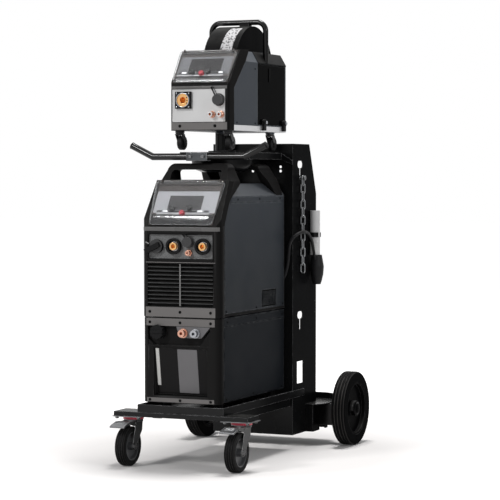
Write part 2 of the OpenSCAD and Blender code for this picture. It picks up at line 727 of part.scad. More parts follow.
module coolant_fittings() {
    for (x = coupling_x) color(x == coupling_x[0] ? "#b5603f" : "#b9bcbf")
        translate([x, 0, coupling_z]) difference() {
            union() {
                bore_y(-cab_front - 6, -cab_front - 0.1, 29);
                bore_y(-cab_front - 22, -cab_front - 6, 23);
            }
            bore_y(-cab_front - 23, -cab_front - 2, 10);
        }
    // Level strip on the leaning window
    lean = (window_foot - window_head) / norm(window_foot - window_head);
    out = [lean[1], -lean[0]];
    a = window_head + lean * 4 + out * 0.1;
    b = window_head + lean * 122 + out * 0.1;
    color("#e8e8e4") side_plate(-86, -75, [a, b, b + out * 2.5, a + out * 2.5]);
}

module cooling_pack() {
    color("#d9d9d2") translate([-95, panel_y0 + 20, cooler_z0 + 3.1]) cube([190, 150, 205]);
    color("#55585c") translate([-60, panel_y0 + 190, cooler_z0 + 3.1]) {
        cube([70, 110, 60]);
        translate([35, 0, 100]) bore_y(0, 110, 90);
        translate([25, 30, 59]) cube([20, 40, 5]);
    }
    color("#8f9295") translate([-95, cab_rear - 60, cooler_z0 + 3.1]) cube([190, 40, 220]);
}

// ---- Power source ----
knee1 = [panel_y0, source_z0 + 309];
knee2 = [panel_y0 + 45, source_z0 + 362];
knee3 = [panel_y0 + 62, side_top];
knee4 = [panel_y0 + 132, roof_z];
arch_x = 88;
arch_z0 = roof_z + 13;
arch_z1 = handle_top - 20;

module source_section(d) polygon([[-source_x + d, source_z0 + d], [source_x - d, source_z0 + d],
    [source_x - d, side_top - d * 0.4], [roof_x - d * 0.6, roof_z - d], [-roof_x + d * 0.6, roof_z - d],
    [-source_x + d, side_top - d * 0.4]]);

module source_chassis() color("#3a3c3f") {
    inner = source_x - skin - 0.1;
    translate([-inner, panel_y0, source_z0 + skin + 0.1]) cube([2 * inner, panel_len - 10, 3]);
    translate([-roof_x + 6, cab_rear - 12, source_z0 + skin + 3.2])
        cube([2 * roof_x - 12, 3, roof_z - source_z0 - 14]);
    translate([0, 0, 650]) bore_y(cab_rear - 60, cab_rear - 12.1, 44);
    translate([0, 0, 650]) bore_y(cab_rear - 84, cab_rear - 60, 8);
    // Outlet of the short lead, and the mains gland
    translate([50, cab_rear + 0.1, gland_at[2] - 11]) cube([18, 15.5, 22]);
    translate([0, gland_at[1], gland_at[2]]) bore_x(68, 84, 15);
    translate([-60, 0, source_z0 + 50]) bore_y(cab_rear + 0.1, cab_rear + 11, 30);
}

module source_panels() color("#33373b") difference() {
    front_plate(panel_y0, cab_rear - 6) source_section(0);
    front_plate(panel_y0 - eps, cab_rear) source_section(skin);
    side_plate(-source_x - eps, source_x + eps, [[panel_y0 - eps, knee1[1]], knee1, knee2, knee3, knee4,
                                   [knee4[0], roof_z + eps], [panel_y0 - eps, roof_z + eps]]);
}

// Front outline of the source's mouldings, with the arch handle's opening
module arch_outline(z0) {
    difference() {
        union() {
            polygon([[-source_x, source_z0], [source_x, source_z0], [source_x, side_top + 6],
                     [source_x - 6, roof_z + 9], [source_x - 18, handle_top - 22],
                     [-source_x + 18, handle_top - 22], [-source_x + 6, roof_z + 9], [-source_x, side_top + 6]]);
            for (x = [-source_x + 40, source_x - 40]) translate([x, handle_top - 22]) circle(22);
            translate([-source_x + 40, handle_top - 23]) square([2 * source_x - 80, 23]);
        }
        translate([-arch_x + 12, z0]) square([2 * arch_x - 24, arch_z1 - z0]);
        translate([-arch_x, z0]) square([2 * arch_x, arch_z1 - z0 - 12]);
        for (x = [-arch_x + 12, arch_x - 12]) translate([x, arch_z1 - 12]) circle(12);
    }
}

// Proud rim up the front and the console's slope, narrower at the slope's head
module source_rim() intersection() {
    half = source_x + rim_out;
    side_plate(-half, half,
        [[-cab_front, source_z0], [-cab_front, slope_foot[1] - 8], slope_foot, slope_head,
         [slope_head[0] + 12, roof_z + 9], [slope_head[0] + rim_depth, roof_z + 9],
         [slope_foot[0] + rim_depth, slope_foot[1]], [slope_foot[0] + rim_depth, source_z0]]);
    front_plate(-cab_front - eps, 0) polygon([[-half, source_z0], [half, source_z0], [half, slope_foot[1]],
        [source_x + 3, slope_head[1]], [-source_x - 3, slope_head[1]], [-half, slope_foot[1]]]);
    translate([0, 0, source_z0]) linear_extrude(handle_top - source_z0) moulding_plan(half, -cab_front, 0, rim_r);
}

slat_n = 10;
slat_pitch = 12.5;
slat_start = 8;
grille_z0 = source_z0 + 33;
grille_z1 = grille_z0 + slat_start + slat_n * slat_pitch;
// Front, console slope, shoulders and arch handle, between the sheets' width
module source_bow() intersection() {
    union() {
        side_plate(-source_x, source_x,
            [[-cab_front, source_z0], [-cab_front, slope_foot[1] - 8], slope_foot, slope_head,
             [slope_head[0] + 12, roof_z + 9], [knee4[0] - 0.1, roof_z + 9], knee4 - [0.1, 0],
             knee3 - [0.1, 0], knee2 - [0.1, 0], knee1 - [0.1, 0], [panel_y0 - 0.1, source_z0]]);
        side_plate(-source_x, source_x,
            [[slope_head[0] + 10, roof_z + 1], [slope_head[0] + 10, roof_z + 9],
             [slope_head[0] + 48, handle_top], [knee4[0] - 17, handle_top], [knee4[0] - 0.1, roof_z + 1]]);
    }
    front_plate(-cab_front - eps, 0) arch_outline(arch_z0);
    translate([0, 0, source_z0]) linear_extrude(handle_top - source_z0 + eps)
        moulding_plan(source_x, -cab_front, 0, corner_r);
}

module source_front() color("#18191b") {
    difference() {
        union() {
            source_bow();
            source_rim();
        }
        // Hollow from behind
        side_plate(-source_x + wall, source_x - wall,
            [[-cab_front + 20, source_z0 + wall], [-cab_front + 20, slope_foot[1] - 6],
             [panel_y0 + 2, slope_foot[1] + 60], [panel_y0 + 2, source_z0 + wall]]);
        // Recess of the control panel
        translate([-panel_x, -cab_front - eps, panel_z0])
            cube([2 * panel_x, recess + eps, panel_z1 - panel_z0]);
        for (x = socket_x) translate([x, 0, socket_z]) bore_y(-cab_front, -cab_front + 24, 30);
        // Recess of the louvres
        translate([-114, -cab_front - eps, grille_z0])
            cube([228, 14 + eps, grille_z1 - grille_z0]);
        screw_holes(source_z0 + 16, [-105, 0, 105], -cab_front);
    }
    for (i = [0:slat_n - 1]) translate([0, 0, grille_z0 + slat_start + i * slat_pitch])
        side_plate(-114.5, 114.5, [[-cab_front + 1.5, 1], [-cab_front + 1.5, 3.5], [-cab_front + 14.5, 10.5],
                                   [-cab_front + 14.5, 7.5]]);
    translate([-3, -cab_front + 1, grille_z0 - eps / 2]) cube([5, 13.5, grille_z1 - grille_z0 + eps]);
}

rear_arch = [[cab_rear - 113, roof_z], [cab_rear - 170, roof_z + 46], [cab_rear - 170, handle_top - 8],
             [cab_rear - 150, handle_top], [cab_rear - 90, handle_top], [cab_rear - 76, roof_z + 47],
             [cab_rear - 44, roof_z + 8], [cab_rear - 18, side_top + 2], [cab_rear - 18, side_top - 14],
             [cab_rear - 60, side_top - 6]];
module source_rear() color("#18191b") {
    // End frame
    difference() {
        front_plate(cab_rear - 5.9, cab_rear) source_section(0);
        front_plate(cab_rear - 7, cab_rear + eps) source_section(16);
    }
    translate([-roof_x + 12, cab_rear - 8.8, source_z0 + 14])
        cube([2 * roof_x - 24, 8, roof_z - source_z0 - 34]);
    // Rear arch handle over the shoulders
    difference() {
        intersection() {
            side_plate(-source_x, source_x, rear_arch);
            front_plate(-100, cab_rear) arch_outline(roof_z - eps);
        }
        front_plate(-200, cab_rear + eps) source_section(-0.1);
        // The pan over the cabinet keeps its room
        translate([0, pivot_y, 0]) rotate_extrude($fn = 96) polygon(concat([[0, dish_z - 4]],
            dish_profile(4), [[dish_r + 4, handle_top + eps], [0, handle_top + eps]]));
    }
}

module control_panel() color("#55585b") difference() {
    union() {
        translate([-panel_x + gap, -cab_front + recess - 2.1, panel_z0 + gap])
            cube([2 * (panel_x - gap), 2, panel_z1 - panel_z0 - 2 * gap]);
        translate([switch_at[0], 0, switch_at[1]])
            bore_y(-cab_front - 8, -cab_front + recess - 2, switch_shaft_d);
    }
    for (x = socket_x) translate([x, 0, socket_z]) bore_y(-cab_front, -cab_front + recess + eps, 30);
}

module current_sockets() {
    face_y = -cab_front + recess - 2.2;
    for (x = socket_x) translate([x, 0, socket_z]) {
        color("#141516") difference() {
            bore_y(face_y - 14, face_y, 2 * socket_r);
            bore_y(face_y - 15, face_y - 2, 2 * socket_r - 12);
            bore_y(face_y - 3, face_y + 1, 24.2);
        }
        color("#c98d4c") difference() {
            bore_y(face_y - 12, face_y - 12 + socket_bore_l + 3, 24);
            bore_y(face_y - 13, face_y - 12 + socket_bore_l, socket_bore_d);
        }
    }
    color("#5c5e60") translate([remote_at[0], 0, remote_at[1]]) {
        bore_y(face_y - 4, face_y, 38);
        bore_y(face_y - 18, face_y - 4, 32);
    }
    color("#b5603f") translate([gas_at[0], 0, gas_at[1]]) difference() {
        union() {
            rotate([90, 0, 0]) translate([0, 0, -face_y]) cylinder(d = 22, h = 6, $fn = 6);
            bore_y(face_y - 18, face_y - 6, 16);
        }
        bore_y(face_y - 19, face_y - 8, 7);
    }
}

switch_r = 22;
module main_switch() color("#101112") translate([switch_at[0], 0, switch_at[1]]) difference() {
    union() {
        bore_y(-cab_front - 4, -cab_front + recess - 2.1 - gap, 2 * switch_r);
        rotate([0, -26, 0]) translate([-38, -cab_front - 15, -8]) cube([54, 13, 16]);
    }
    bore_y(-cab_front - 9, -cab_front + recess, switch_shaft_d + 2 * play);
}

// Fan of the power source, on its motor's shaft
module source_fan() color("#1d1e20") translate([0, 0, 650]) {
    difference() {
        bore_y(cab_rear - 84, cab_rear - 61, 46);
        bore_y(cab_rear - 85, cab_rear - 60, 8 + 2 * play);
    }
    for (a = [0:60:300]) rotate([0, a, 0]) translate([22, cab_rear - 73, 0]) rotate([30, 0, 0])
        translate([0, -1, -11]) cube([46, 2, 22]);
}

module power_block() {
    base = source_z0 + skin + 3.2;
    color("#8a5a34") translate([-60, panel_y0 + 60, base]) cube([120, 110, 120]);
    color("#a7aaad") for (i = [0:9]) translate([-72 + i * 15, panel_y0 + 200, base]) cube([5, 150, 150]);
    color("#a7aaad") translate([-72, panel_y0 + 200, base + 150.1]) cube([140, 150, 8]);
    color("#2f6b3d") translate([-90, panel_y0 + 60, base + 180]) cube([180, 200, 2]);
    color("#a7aaad") for (x = [-86, 80]) translate([x, panel_y0 + 90, base]) cube([6, 20, 179.9]);
}

// ---- Consoles: drawn flat, x across and y up the slope, then laid on the slope ----
module on_slope(foot, ang) translate([0, foot[0], foot[1]]) rotate([ang, 0, 0]) children();
hinge_up = 10;
hinge_z = 8;
module console_plate(w, l, knobs) {
    translate([-w / 2, 3, 0.1]) cube([w, l - 6, console_t]);
    for (k = knobs) translate([k[0], k[1], 0.1]) cylinder(d = knob_shaft_d, h = console_t + knob_h - 2);
    // Hinge ears and pin of the cover
    for (x = [-w / 2 + 8, w / 2 - 12]) translate([x, l - hinge_up - 5, console_t]) cube([4, 10, hinge_z + 2]);
    translate([0, l - hinge_up, hinge_z]) bore_x(-w / 2 + 6, w / 2 - 6, hinge_d);
}
module console_cover(w0, w1, l) difference() {
    union() {
        difference() {
            translate([0, 0, console_t + gap]) linear_extrude(cover_h)
                polygon([[-w0 / 2 + 8, 2], [w0 / 2 - 8, 2], [w0 / 2, 12], [w1 / 2, l - hinge_up - 8],
                         [-w1 / 2, l - hinge_up - 8], [-w0 / 2, 12]]);
            translate([0, 0, 0]) linear_extrude(console_t + gap + cover_h - cover_wall)
                polygon([[-w0 / 2 + 9, 2 + cover_wall], [w0 / 2 - 9, 2 + cover_wall], [w0 / 2 - 2, 13],
                         [w1 / 2 - 2, l - hinge_up - 10], [-w1 / 2 + 2, l - hinge_up - 10], [-w0 / 2 + 2, 13]]);
        }
        translate([0, l - hinge_up, hinge_z]) bore_x(-w0 / 2 + 13, w0 / 2 - 13, hinge_d + 4);
        translate([-w0 / 2 + 13, l - hinge_up - 9, hinge_z]) cube([w0 - 26, 9, 3]);
    }
    translate([0, l - hinge_up, hinge_z]) bore_x(-w1, w1, hinge_d + 2 * play);
}
module knob_at(k) translate([k[0], k[1], console_t + gap]) difference() {
    union() {
        cylinder(r = knob_r, h = 3);
        cylinder(r = knob_r - 1.5, h = knob_h);
    }
    translate([0, 0, -eps]) cylinder(d = knob_shaft_d + 2 * play, h = knob_h - 1 + eps);
}
source_knobs = [[-42, 60], [-3, 44], [18, 62]];
feeder_knobs = [[-36, 43], [-2, 37], [19, 44]];

module source_console() color("#8d9093") on_slope(slope_foot, slope_ang)
    console_plate(console_w, slope_len, source_knobs);
module source_cover() color("#c8d0d4", 0.4) on_slope(slope_foot, slope_ang)
    console_cover(console_w - 4, console_w + 18, slope_len);
module source_knob_left() color("#151617") on_slope(slope_foot, slope_ang) knob_at(source_knobs[0]);
module source_knob_middle() color("#c8203a") on_slope(slope_foot, slope_ang) knob_at(source_knobs[1]);
module source_knob_right() color("#151617") on_slope(slope_foot, slope_ang) knob_at(source_knobs[2]);

// ---- Wire feeder ----
fknee1 = [feed_panel_y0, feeder_z + 135];
fknee2 = [feed_panel_y0 + 89, feed_side_top];
fknee3 = [feed_panel_y0 + 114, feed_roof];
door_y1 = feed_rear - 8;
door_z0 = feeder_z + 22;
door_axis = [feed_x - 4, feed_side_top - 7];
door_pin_d = 3;
latch_y = [3, feed_rear - 24];
latch_z = door_z0 + 8;
latch_stud_d = 5;

module feed_section(d) polygon([[-feed_x + d, feeder_z + d], [feed_x - d, feeder_z + d],
    [feed_x - d, feed_side_top - d * 0.5], [feed_roof_x - d * 0.6, feed_roof - d],
    [-feed_roof_x + d * 0.6, feed_roof - d], [-feed_x + d, feed_side_top - d * 0.5]]);

module small_race(x, y) translate([x, y, feeder_z - 6.5]) {
    cylinder(d = 30, h = 6.6);
    translate([0, 0, -9]) cylinder(d = small_kingpin_d, h = 9);
}

module feeder_case() color("#33373b") {
    difference() {
        union() {
            difference() {
                front_plate(feed_panel_y0, feed_rear) feed_section(0);
                front_plate(feed_panel_y0 - eps, feed_rear - 3) feed_section(skin);
                side_plate(-feed_x - eps, feed_x + eps,
                           [[feed_panel_y0 - eps, fknee1[1]], fknee1, fknee2, fknee3, [fknee3[0], feed_roof + eps],
                            [feed_panel_y0 - eps, feed_roof + eps]]);
            }
            translate([0, pivot_y, post_top + gap]) cylinder(d = post_d, h = 43 - gap);
        }
        translate([0, pivot_y, post_top]) cylinder(d = pivot_d + 2 * play, h = 44);
        // Seats of the two edge rails, door opening and roof slot
        for (x = [-feed_x - eps, feed_x - rail_t]) translate([x, feed_panel_y0 - eps, feeder_z - eps])
            cube([rail_t + eps, feeder_len, rail_h + eps]);
        translate([feed_x - 10, door_y0 - gap, door_z0 - gap])
            cube([12, door_y1 - door_y0 + 2 * gap, door_axis[1] + 4 + 2 * gap - door_z0]);
        translate([guard_x0 + 4, guard_y - 141, feed_roof - 10]) cube([guard_w - 8, 282, 12]);
    }
    for (x = [-small_x, small_x], y = [small_rear_y]) small_race(x, y);
    // Lugs and pin of the door's hinge
    translate([door_axis[0], 0, door_axis[1]]) bore_y(door_y0 - 5, door_y1 + 4.5, door_pin_d);
    for (y = [door_y0 - 5 - gap, door_y1 + gap]) translate([feed_x - 8, y, door_axis[1] - 6])
        cube([6.1, 4, 12]);
    // Spool shaft
    translate([0, guard_y, guard_z]) bore_x(-feed_x + 1, spool_x0 + spool_w + 6, spool_hub_d);
}

module feeder_front() color("#18191b") difference() {
    intersection() {
        side_plate(-feed_x, feed_x,
            [[feed_front, feeder_z], [feed_front, feed_foot[1] - 17], feed_foot, feed_head,
             [feed_head[0] + 14, feed_head[1] + 1], [fknee3[0] - 0.1, feed_roof + 3], fknee3 - [0.1, 0],
             fknee2 - [0.1, 0], fknee1 - [0.1, 0], [feed_panel_y0 - 0.1, feeder_z]]);
        translate([0, 0, feeder_z]) linear_extrude(300) moulding_plan(feed_x, feed_front, 0, 14);
    }
    side_plate(-feed_x + wall, feed_x - wall,
        [[feed_front + 8, feeder_z + wall], [feed_front + 8, feed_foot[1] - 10], [fknee1[0] + 4, fknee1[1] + 22],
         [fknee1[0] + 4, feeder_z + wall]]);
    translate([euro_at[0], 0, euro_at[1]]) bore_y(feed_front - eps, feed_front + 9, 44);
    screw_holes(feeder_z + 14, [-66, 57], feed_front);
}

module feeder_console() color("#8d9093") on_slope(feed_foot, feed_slope_ang)
    console_plate(feed_console_w, feed_slope_len, feeder_knobs);
module feeder_fittings() {
    feeder_console();
    color("#c4c6c8") for (x = [-feed_x, feed_x - rail_t + 0.1])
        translate([x, feed_panel_y0 + 0.1, feeder_z])
            cube([rail_t - 0.1, feed_rear - feed_panel_y0 - 0.1, rail_h - 0.1]);
    y1 = feed_front - 0.1;
    color("#c4c6c8") difference() {
        translate([-92, y1 - 1.5, feeder_z + 27]) cube([184, 1.5, 103]);
        translate([euro_at[0], 0, euro_at[1]]) bore_y(y1 - 5, y1 + 1, 44);
    }
    y2 = y1 - 1.6;
    translate([euro_at[0], 0, euro_at[1]]) {
        color("#111213") difference() {
            translate([-27, y2 - 10, -27]) cube([54, 10, 54]);
            bore_y(y2 - 11, y2 + 1, 42);
        }
        color("#c98d4c") difference() {
            bore_y(y2 - 9, y2 + 34, 41.8);
            bore_y(y2 - 10, y2 - 9 + euro_bore_l, euro_bore_d);
        }
    }
    color("#5c5e60") translate([feed_remote_at[0], 0, feed_remote_at[1]]) {
        bore_y(y2 - 4, y2, 40);
        bore_y(y2 - 17, y2 - 4, 34);
    }
    for (x = feed_coupling_x) color("#b5603f") translate([x, 0, feed_coupling_z]) difference() {
        union() {
            bore_y(y2 - 5, y2, 22);
            bore_y(y2 - 20, y2 - 5, 17);
        }
        bore_y(y2 - 21, y2 - 6, 8);
    }
}

module feeder_cover() color("#c8d0d4", 0.4) on_slope(feed_foot, feed_slope_ang)
    console_cover(feed_console_w - 2, feed_console_w + 8, feed_slope_len);
module feeder_knob_left() color("#151617") on_slope(feed_foot, feed_slope_ang) knob_at(feeder_knobs[0]);
module feeder_knob_middle() color("#c8203a") on_slope(feed_foot, feed_slope_ang) knob_at(feeder_knobs[1]);
module feeder_knob_right() color("#151617") on_slope(feed_foot, feed_slope_ang) knob_at(feeder_knobs[2]);

module hoop_handle() color("#151617") difference() {
    translate([0, guard_y, 0]) {
        for (s = [0, 1]) mirror([s, 0, 0]) {
            translate([hoop_x, 0, feed_side_top - 5])
                cylinder(d = hoop_tube_d, h = hoop_z - hoop_r - feed_side_top + 5);
            translate([hoop_x - hoop_r, 0, hoop_z - hoop_r]) rotate([90, 0, 0])
                rotate_extrude(angle = 90) translate([hoop_r, 0]) circle(d = hoop_tube_d);
        }
        translate([0, 0, hoop_z]) bore_x(-hoop_x + hoop_r, hoop_x - hoop_r, hoop_tube_d);
    }
    front_plate(-200, 200) feed_section(-0.1);
    for (x = [-feed_x - 40, feed_x]) translate([x, -100, feeder_z])
        cube([40, 300, feed_side_top - feeder_z + 2]);
}

module spool_guard() color("#131415") translate([0, guard_y, guard_z]) difference() {
    union() {
        bore_x(guard_x0, guard_x1, guard_d);
        // Clip under the hoop's top bar
        translate([8, -12, guard_d / 2 - 4]) cube([34, 24, hoop_z - guard_z - guard_d / 2 + 4]);
    }
    translate([0, 0, hoop_z - guard_z]) bore_x(0, 50, hoop_tube_d + 0.2);
    bore_x(guard_x0 + 3, guard_x1 - 3, guard_d - 6);
    translate([guard_x0 - eps, -guard_d, -guard_d]) cube([guard_w + 2 * eps, 2 * guard_d, guard_d + 68.1]);
    // Window over the wire
    side_plate(-5, 38, [[-10, 0], [-250, 120], [-250, 300], [-84, 300], [-18, 60]]);
}

module wire_spool() translate([0, guard_y, guard_z]) {
    color("#1d1e20") difference() {
        union() {
            bore_x(spool_x0, spool_x0 + 5, 2 * spool_r);
            bore_x(spool_x0 + spool_w - 5, spool_x0 + spool_w, 2 * spool_r);
            bore_x(spool_x0, spool_x0 + spool_w, 110);
        }
        bore_x(spool_x0 - eps, spool_x0 + spool_w + eps, spool_hub_d + 2 * play);
    }
    color("#b9bcbf") difference() {
        bore_x(spool_x0 + 5.1, spool_x0 + spool_w - 5.1, 2 * spool_r - 30);
        bore_x(spool_x0, spool_x0 + spool_w, 110.2);
    }
}

module drive_unit() {
    color("#8f9295") translate([20, feed_panel_y0 + 12, feeder_z + 60]) cube([18, 74, 80]);
    color("#55585c") translate([0, feed_panel_y0 + 49, feeder_z + 90]) bore_x(-60, 19.9, 56);
    color("#c4c6c8") for (y = [30, 68], z = [86, 117])
        translate([0, feed_panel_y0 + y, feeder_z + z]) bore_x(38.1, 52, 30);
    color("#55585c") translate([10, feed_panel_y0 + 20, feeder_z + skin + 0.1]) cube([28, 60, 57.8]);
}

module feeder_door() color("#121314") difference() {
    union() {
        translate([feed_x - 2, door_y0, door_z0]) cube([2, door_y1 - door_y0, door_axis[1] - door_z0]);
        translate([door_axis[0], 0, door_axis[1]]) bore_y(door_y0, door_y1, 8);
        // Grip rib, and the studs of the latches
        translate([feed_x - 0.1, door_y0 + 91, door_axis[1] - 52]) cube([3.1, 5, 44]);
        for (y = latch_y) translate([0, y, latch_z]) bore_x(feed_x - 1, feed_x + 10, latch_stud_d);
    }
    translate([door_axis[0], 0, door_axis[1]]) bore_y(door_y0 - eps, door_y1 + eps, door_pin_d + 2 * play);
}

// Turn latch: a tongue that hangs over the rail below the door, and its thumb button
module door_latch(y) translate([feed_x + gap, y, latch_z]) {
    color("#111213") difference() {
        union() {
            bore_x(0, 9, 22);
            translate([0, -9, -26]) cube([8, 18, 26]);
            translate([0, 0, -2]) cube([6, 18, 9]);
        }
        bore_x(-eps, 10, latch_stud_d + 2 * play);
    }
    color("#c4c6c8") bore_x(10, 14, 11);
}
module door_latch_front() door_latch(latch_y[0]);
module door_latch_rear() door_latch(latch_y[1]);

// Small castors under the feeder
small_in = small_w / 2 + 1.5;
module small_fork(x, y) color("#2a2b2d") translate([x, y, 0]) {
    difference() {
        union() {
            translate([0, 0, small_z + small_r + 2])
                cylinder(d = 28, h = feeder_z - 6.5 - gap - small_z - small_r - 2);
            for (s = [-small_in - 2, small_in]) {
                side_plate(s, s + 2, [[12, small_z + small_r + 5], [-12, small_z + small_r + 5],
                                      [small_trail - 9, small_z], [small_trail + 9, small_z]]);
                translate([0, small_trail, small_z]) bore_x(s, s + 2, 18);
            }
        }
        translate([0, 0, small_z + small_r + 1]) cylinder(d = small_kingpin_d + 2 * play, h = 40);
        translate([0, small_trail, small_z]) bore_x(-20, 20, small_axle_d);
    }
    translate([0, small_trail, small_z]) {
        bore_x(-small_in - 4, small_in + 4, small_axle_d - 0.1);
        for (s = [-small_in - 4.1, small_in + 2.1]) translate([s, 0, 0]) difference() {
            rotate([0, 90, 0]) cylinder(d = 9, h = 2, $fn = 6);
            bore_x(-eps, 3, small_axle_d);
        }
    }
}
module small_fork_front() {
    for (x = [-small_x, small_x]) {
        small_fork(x, small_front_y);
        color("#2a2b2d") translate([x, small_front_y, feeder_z - 6.5]) {
            cylinder(d = 30, h = 6.4);
            translate([0, 0, -9]) cylinder(d = small_kingpin_d, h = 9);
        }
    }
}
module small_fork_rear_right() small_fork(small_x, small_rear_y);
module small_fork_rear_left() small_fork(-small_x, small_rear_y);
module small_wheel(x, y) color("#151617") translate([x, y + small_trail, small_z]) rotate([0, 90, 0])
    rotate_extrude($fn = 64) {
        difference() {
            translate([small_axle_d / 2 + play, -small_w / 2])
                square([small_r - small_axle_d / 2 - play, small_w]);
            for (s = [-1, 1]) translate([small_r - 8, s * (small_w / 2 + 1)]) circle(3, $fn = 24);
            for (s = [-1, 1]) translate([small_r, s * small_w / 2]) circle(2, $fn = 24);
        }
    }
module small_wheel_front_right() small_wheel(small_x, small_front_y);
module small_wheel_front_left() small_wheel(-small_x, small_front_y);
module small_wheel_rear_right() small_wheel(small_x, small_rear_y);
module small_wheel_rear_left() small_wheel(-small_x, small_rear_y);

tray();
bumper();
column();
bottle_shelf();
axle_beam();
rear_wheel_right();
rear_wheel_left();
castor_mounts();
castor_fork_right();
castor_fork_left();
castor_wheel_right();
castor_wheel_left();
brake_pedal_right();
brake_pedal_left();
platform();
push_bar();
chain();
accessory_lead();
accessory_plug();
cooler_chassis();
cooler_panels();
cooler_front();
coolant_fittings();
cooling_pack();
filler_cap();
source_chassis();
source_panels();
source_front();
source_rear();
control_panel();
current_sockets();
source_console();
power_block();
main_switch();
source_cover();
source_knob_left();
source_knob_middle();
source_knob_right();
source_fan();
feeder_case();
feeder_front();
feeder_fittings();
hoop_handle();
spool_guard();
wire_spool();
drive_unit();
feeder_door();
door_latch_front();
door_latch_rear();
feeder_cover();
feeder_knob_left();
feeder_knob_middle();
feeder_knob_right();
small_fork_front();
small_fork_rear_right();
small_fork_rear_left();
small_wheel_front_right();
small_wheel_front_left();
small_wheel_rear_right();
small_wheel_rear_left();
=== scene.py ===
import json
from math import asin, cos, radians, sin, tan, tau

import bmesh
import bpy
from mathutils import Matrix, Vector

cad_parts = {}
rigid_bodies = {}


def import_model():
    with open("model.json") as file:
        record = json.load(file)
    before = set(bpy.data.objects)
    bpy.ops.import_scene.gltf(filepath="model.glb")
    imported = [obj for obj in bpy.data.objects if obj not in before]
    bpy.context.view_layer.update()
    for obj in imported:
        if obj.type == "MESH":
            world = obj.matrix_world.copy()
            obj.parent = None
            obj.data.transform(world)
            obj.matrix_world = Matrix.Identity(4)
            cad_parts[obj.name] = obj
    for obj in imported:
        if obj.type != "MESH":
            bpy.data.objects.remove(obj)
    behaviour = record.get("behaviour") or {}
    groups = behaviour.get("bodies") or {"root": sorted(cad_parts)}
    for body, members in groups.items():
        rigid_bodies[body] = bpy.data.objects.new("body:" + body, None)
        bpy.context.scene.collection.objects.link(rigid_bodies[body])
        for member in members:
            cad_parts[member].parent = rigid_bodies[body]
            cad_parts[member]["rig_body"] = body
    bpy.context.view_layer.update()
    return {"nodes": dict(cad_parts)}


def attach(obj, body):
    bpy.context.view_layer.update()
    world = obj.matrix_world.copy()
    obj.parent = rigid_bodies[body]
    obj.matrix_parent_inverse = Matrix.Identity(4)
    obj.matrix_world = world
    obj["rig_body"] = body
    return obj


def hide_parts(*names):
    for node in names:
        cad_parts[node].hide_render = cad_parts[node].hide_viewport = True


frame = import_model()
cad = frame["nodes"]
scene = bpy.context.scene
scene.view_settings.view_transform = "Standard"
SIDES = ((1, "right"), (-1, "left"))
UP, FORWARD = (0, 0, 1), (0, -1, 0)


# ---- Camera, floor and lamps ----
# A long lens looks at the set from its right front, a little above the middle. The floor is a white sheet that
# keeps the set's soft shadow, and three wide lamps stand round it.
def placed(name, data):
    """A new object in the scene."""
    made = bpy.data.objects.new(name, data)
    scene.collection.objects.link(made)
    return made


EYE_TILT, EYE_TURN = 90 - 2.1717, 23.9476
eye = placed("eye", bpy.data.cameras.new("eye"))
eye.data.lens = 144.948
eye.data.sensor_width = 36.0
eye.data.clip_end = 80.0
eye.location = (2.73871, -6.03929, 0.92325)
eye.rotation_euler = (radians(EYE_TILT), 0, radians(EYE_TURN))
scene.camera = eye


def feed(tree, node, feeds):
    """Gives inputs, by name or number, a value, an output or another node's first output."""
    for key, value in feeds.items():
        value = value.outputs[0] if isinstance(value, bpy.types.Node) else value
        if isinstance(value, bpy.types.NodeSocket):
            tree.links.new(value, node.inputs[key])
        else:
            node.inputs[key].default_value = value
    return node


def put(tree, kind, feeds={}, **settings):
    """Adds a node with its settings and inputs. Its kind may leave out the tree's own prefix."""
    node = tree.nodes.new(kind if "Node" in kind else tree.bl_idname.replace("Tree", kind))
    for key, value in settings.items():
        setattr(node, key, value)
    return feed(tree, node, feeds)


def maths(tree, operation, *values):
    return put(tree, "ShaderNodeMath", dict(enumerate(values)), operation=operation)


def ranged(tree, value, low, high, to_low=0.0, to_high=1.0):
    """A value carried from one range to another, and kept inside it."""
    return put(tree, "MapRange", {"Value": value, "From Min": low, "From Max": high, "To Min": to_low,
                                  "To Max": to_high})


def white_to_lens(tree):
    """1 where the lens, or a reflection or a look through glass, sees the studio, and 0 for the light it gives."""
    ray = put(tree, "LightPath").outputs
    mirrored = maths(tree, "MAXIMUM", ray["Is Glossy Ray"], ray["Is Transmission Ray"])
    return maths(tree, "MAXIMUM", ray["Is Camera Ray"], mirrored)


studio = bpy.data.worlds.new("studio")
studio.use_nodes = True
scene.world = studio
tree = studio.node_tree
tree.nodes.clear()
ambient = put(tree, "Background", {"Color": (0.95, 0.97, 1, 1), "Strength": 0.34})
white = put(tree, "Background", {"Color": (1, 1, 1, 1), "Strength": 1.0})
sky = put(tree, "MixShader", {0: white_to_lens(tree), 1: ambient, 2: white})
put(tree, "OutputWorld", {"Surface": sky})

sheet = bpy.data.meshes.new("floor")
sheet.from_pydata([(-30, -30, 0), (30, -30, 0), (30, 30, 0), (-30, 30, 0)], [], [(0, 1, 2, 3)])
floor = placed("floor", sheet)
paper = bpy.data.materials.new("white_floor")
paper.use_nodes = True
tree = paper.node_tree
tree.nodes.clear()
place = put(tree, "TexCoord").outputs["Object"]
away = put(tree, "VectorMath", {0: place}, operation="LENGTH").outputs["Value"]
lit = put(tree, "BsdfDiffuse", {"Color": (0.64, 0.622, 0.612, 1)})
glow = put(tree, "Emission", {"Color": (1, 1, 1, 1), "Strength": ranged(tree, away, 0.5, 1.6, 0.05, 0.8)})
seen = put(tree, "AddShader", {0: lit, 1: glow})
both = put(tree, "MixShader", {0: white_to_lens(tree), 1: lit, 2: seen})
put(tree, "OutputMaterial", {"Surface": both})
sheet.materials.append(paper)

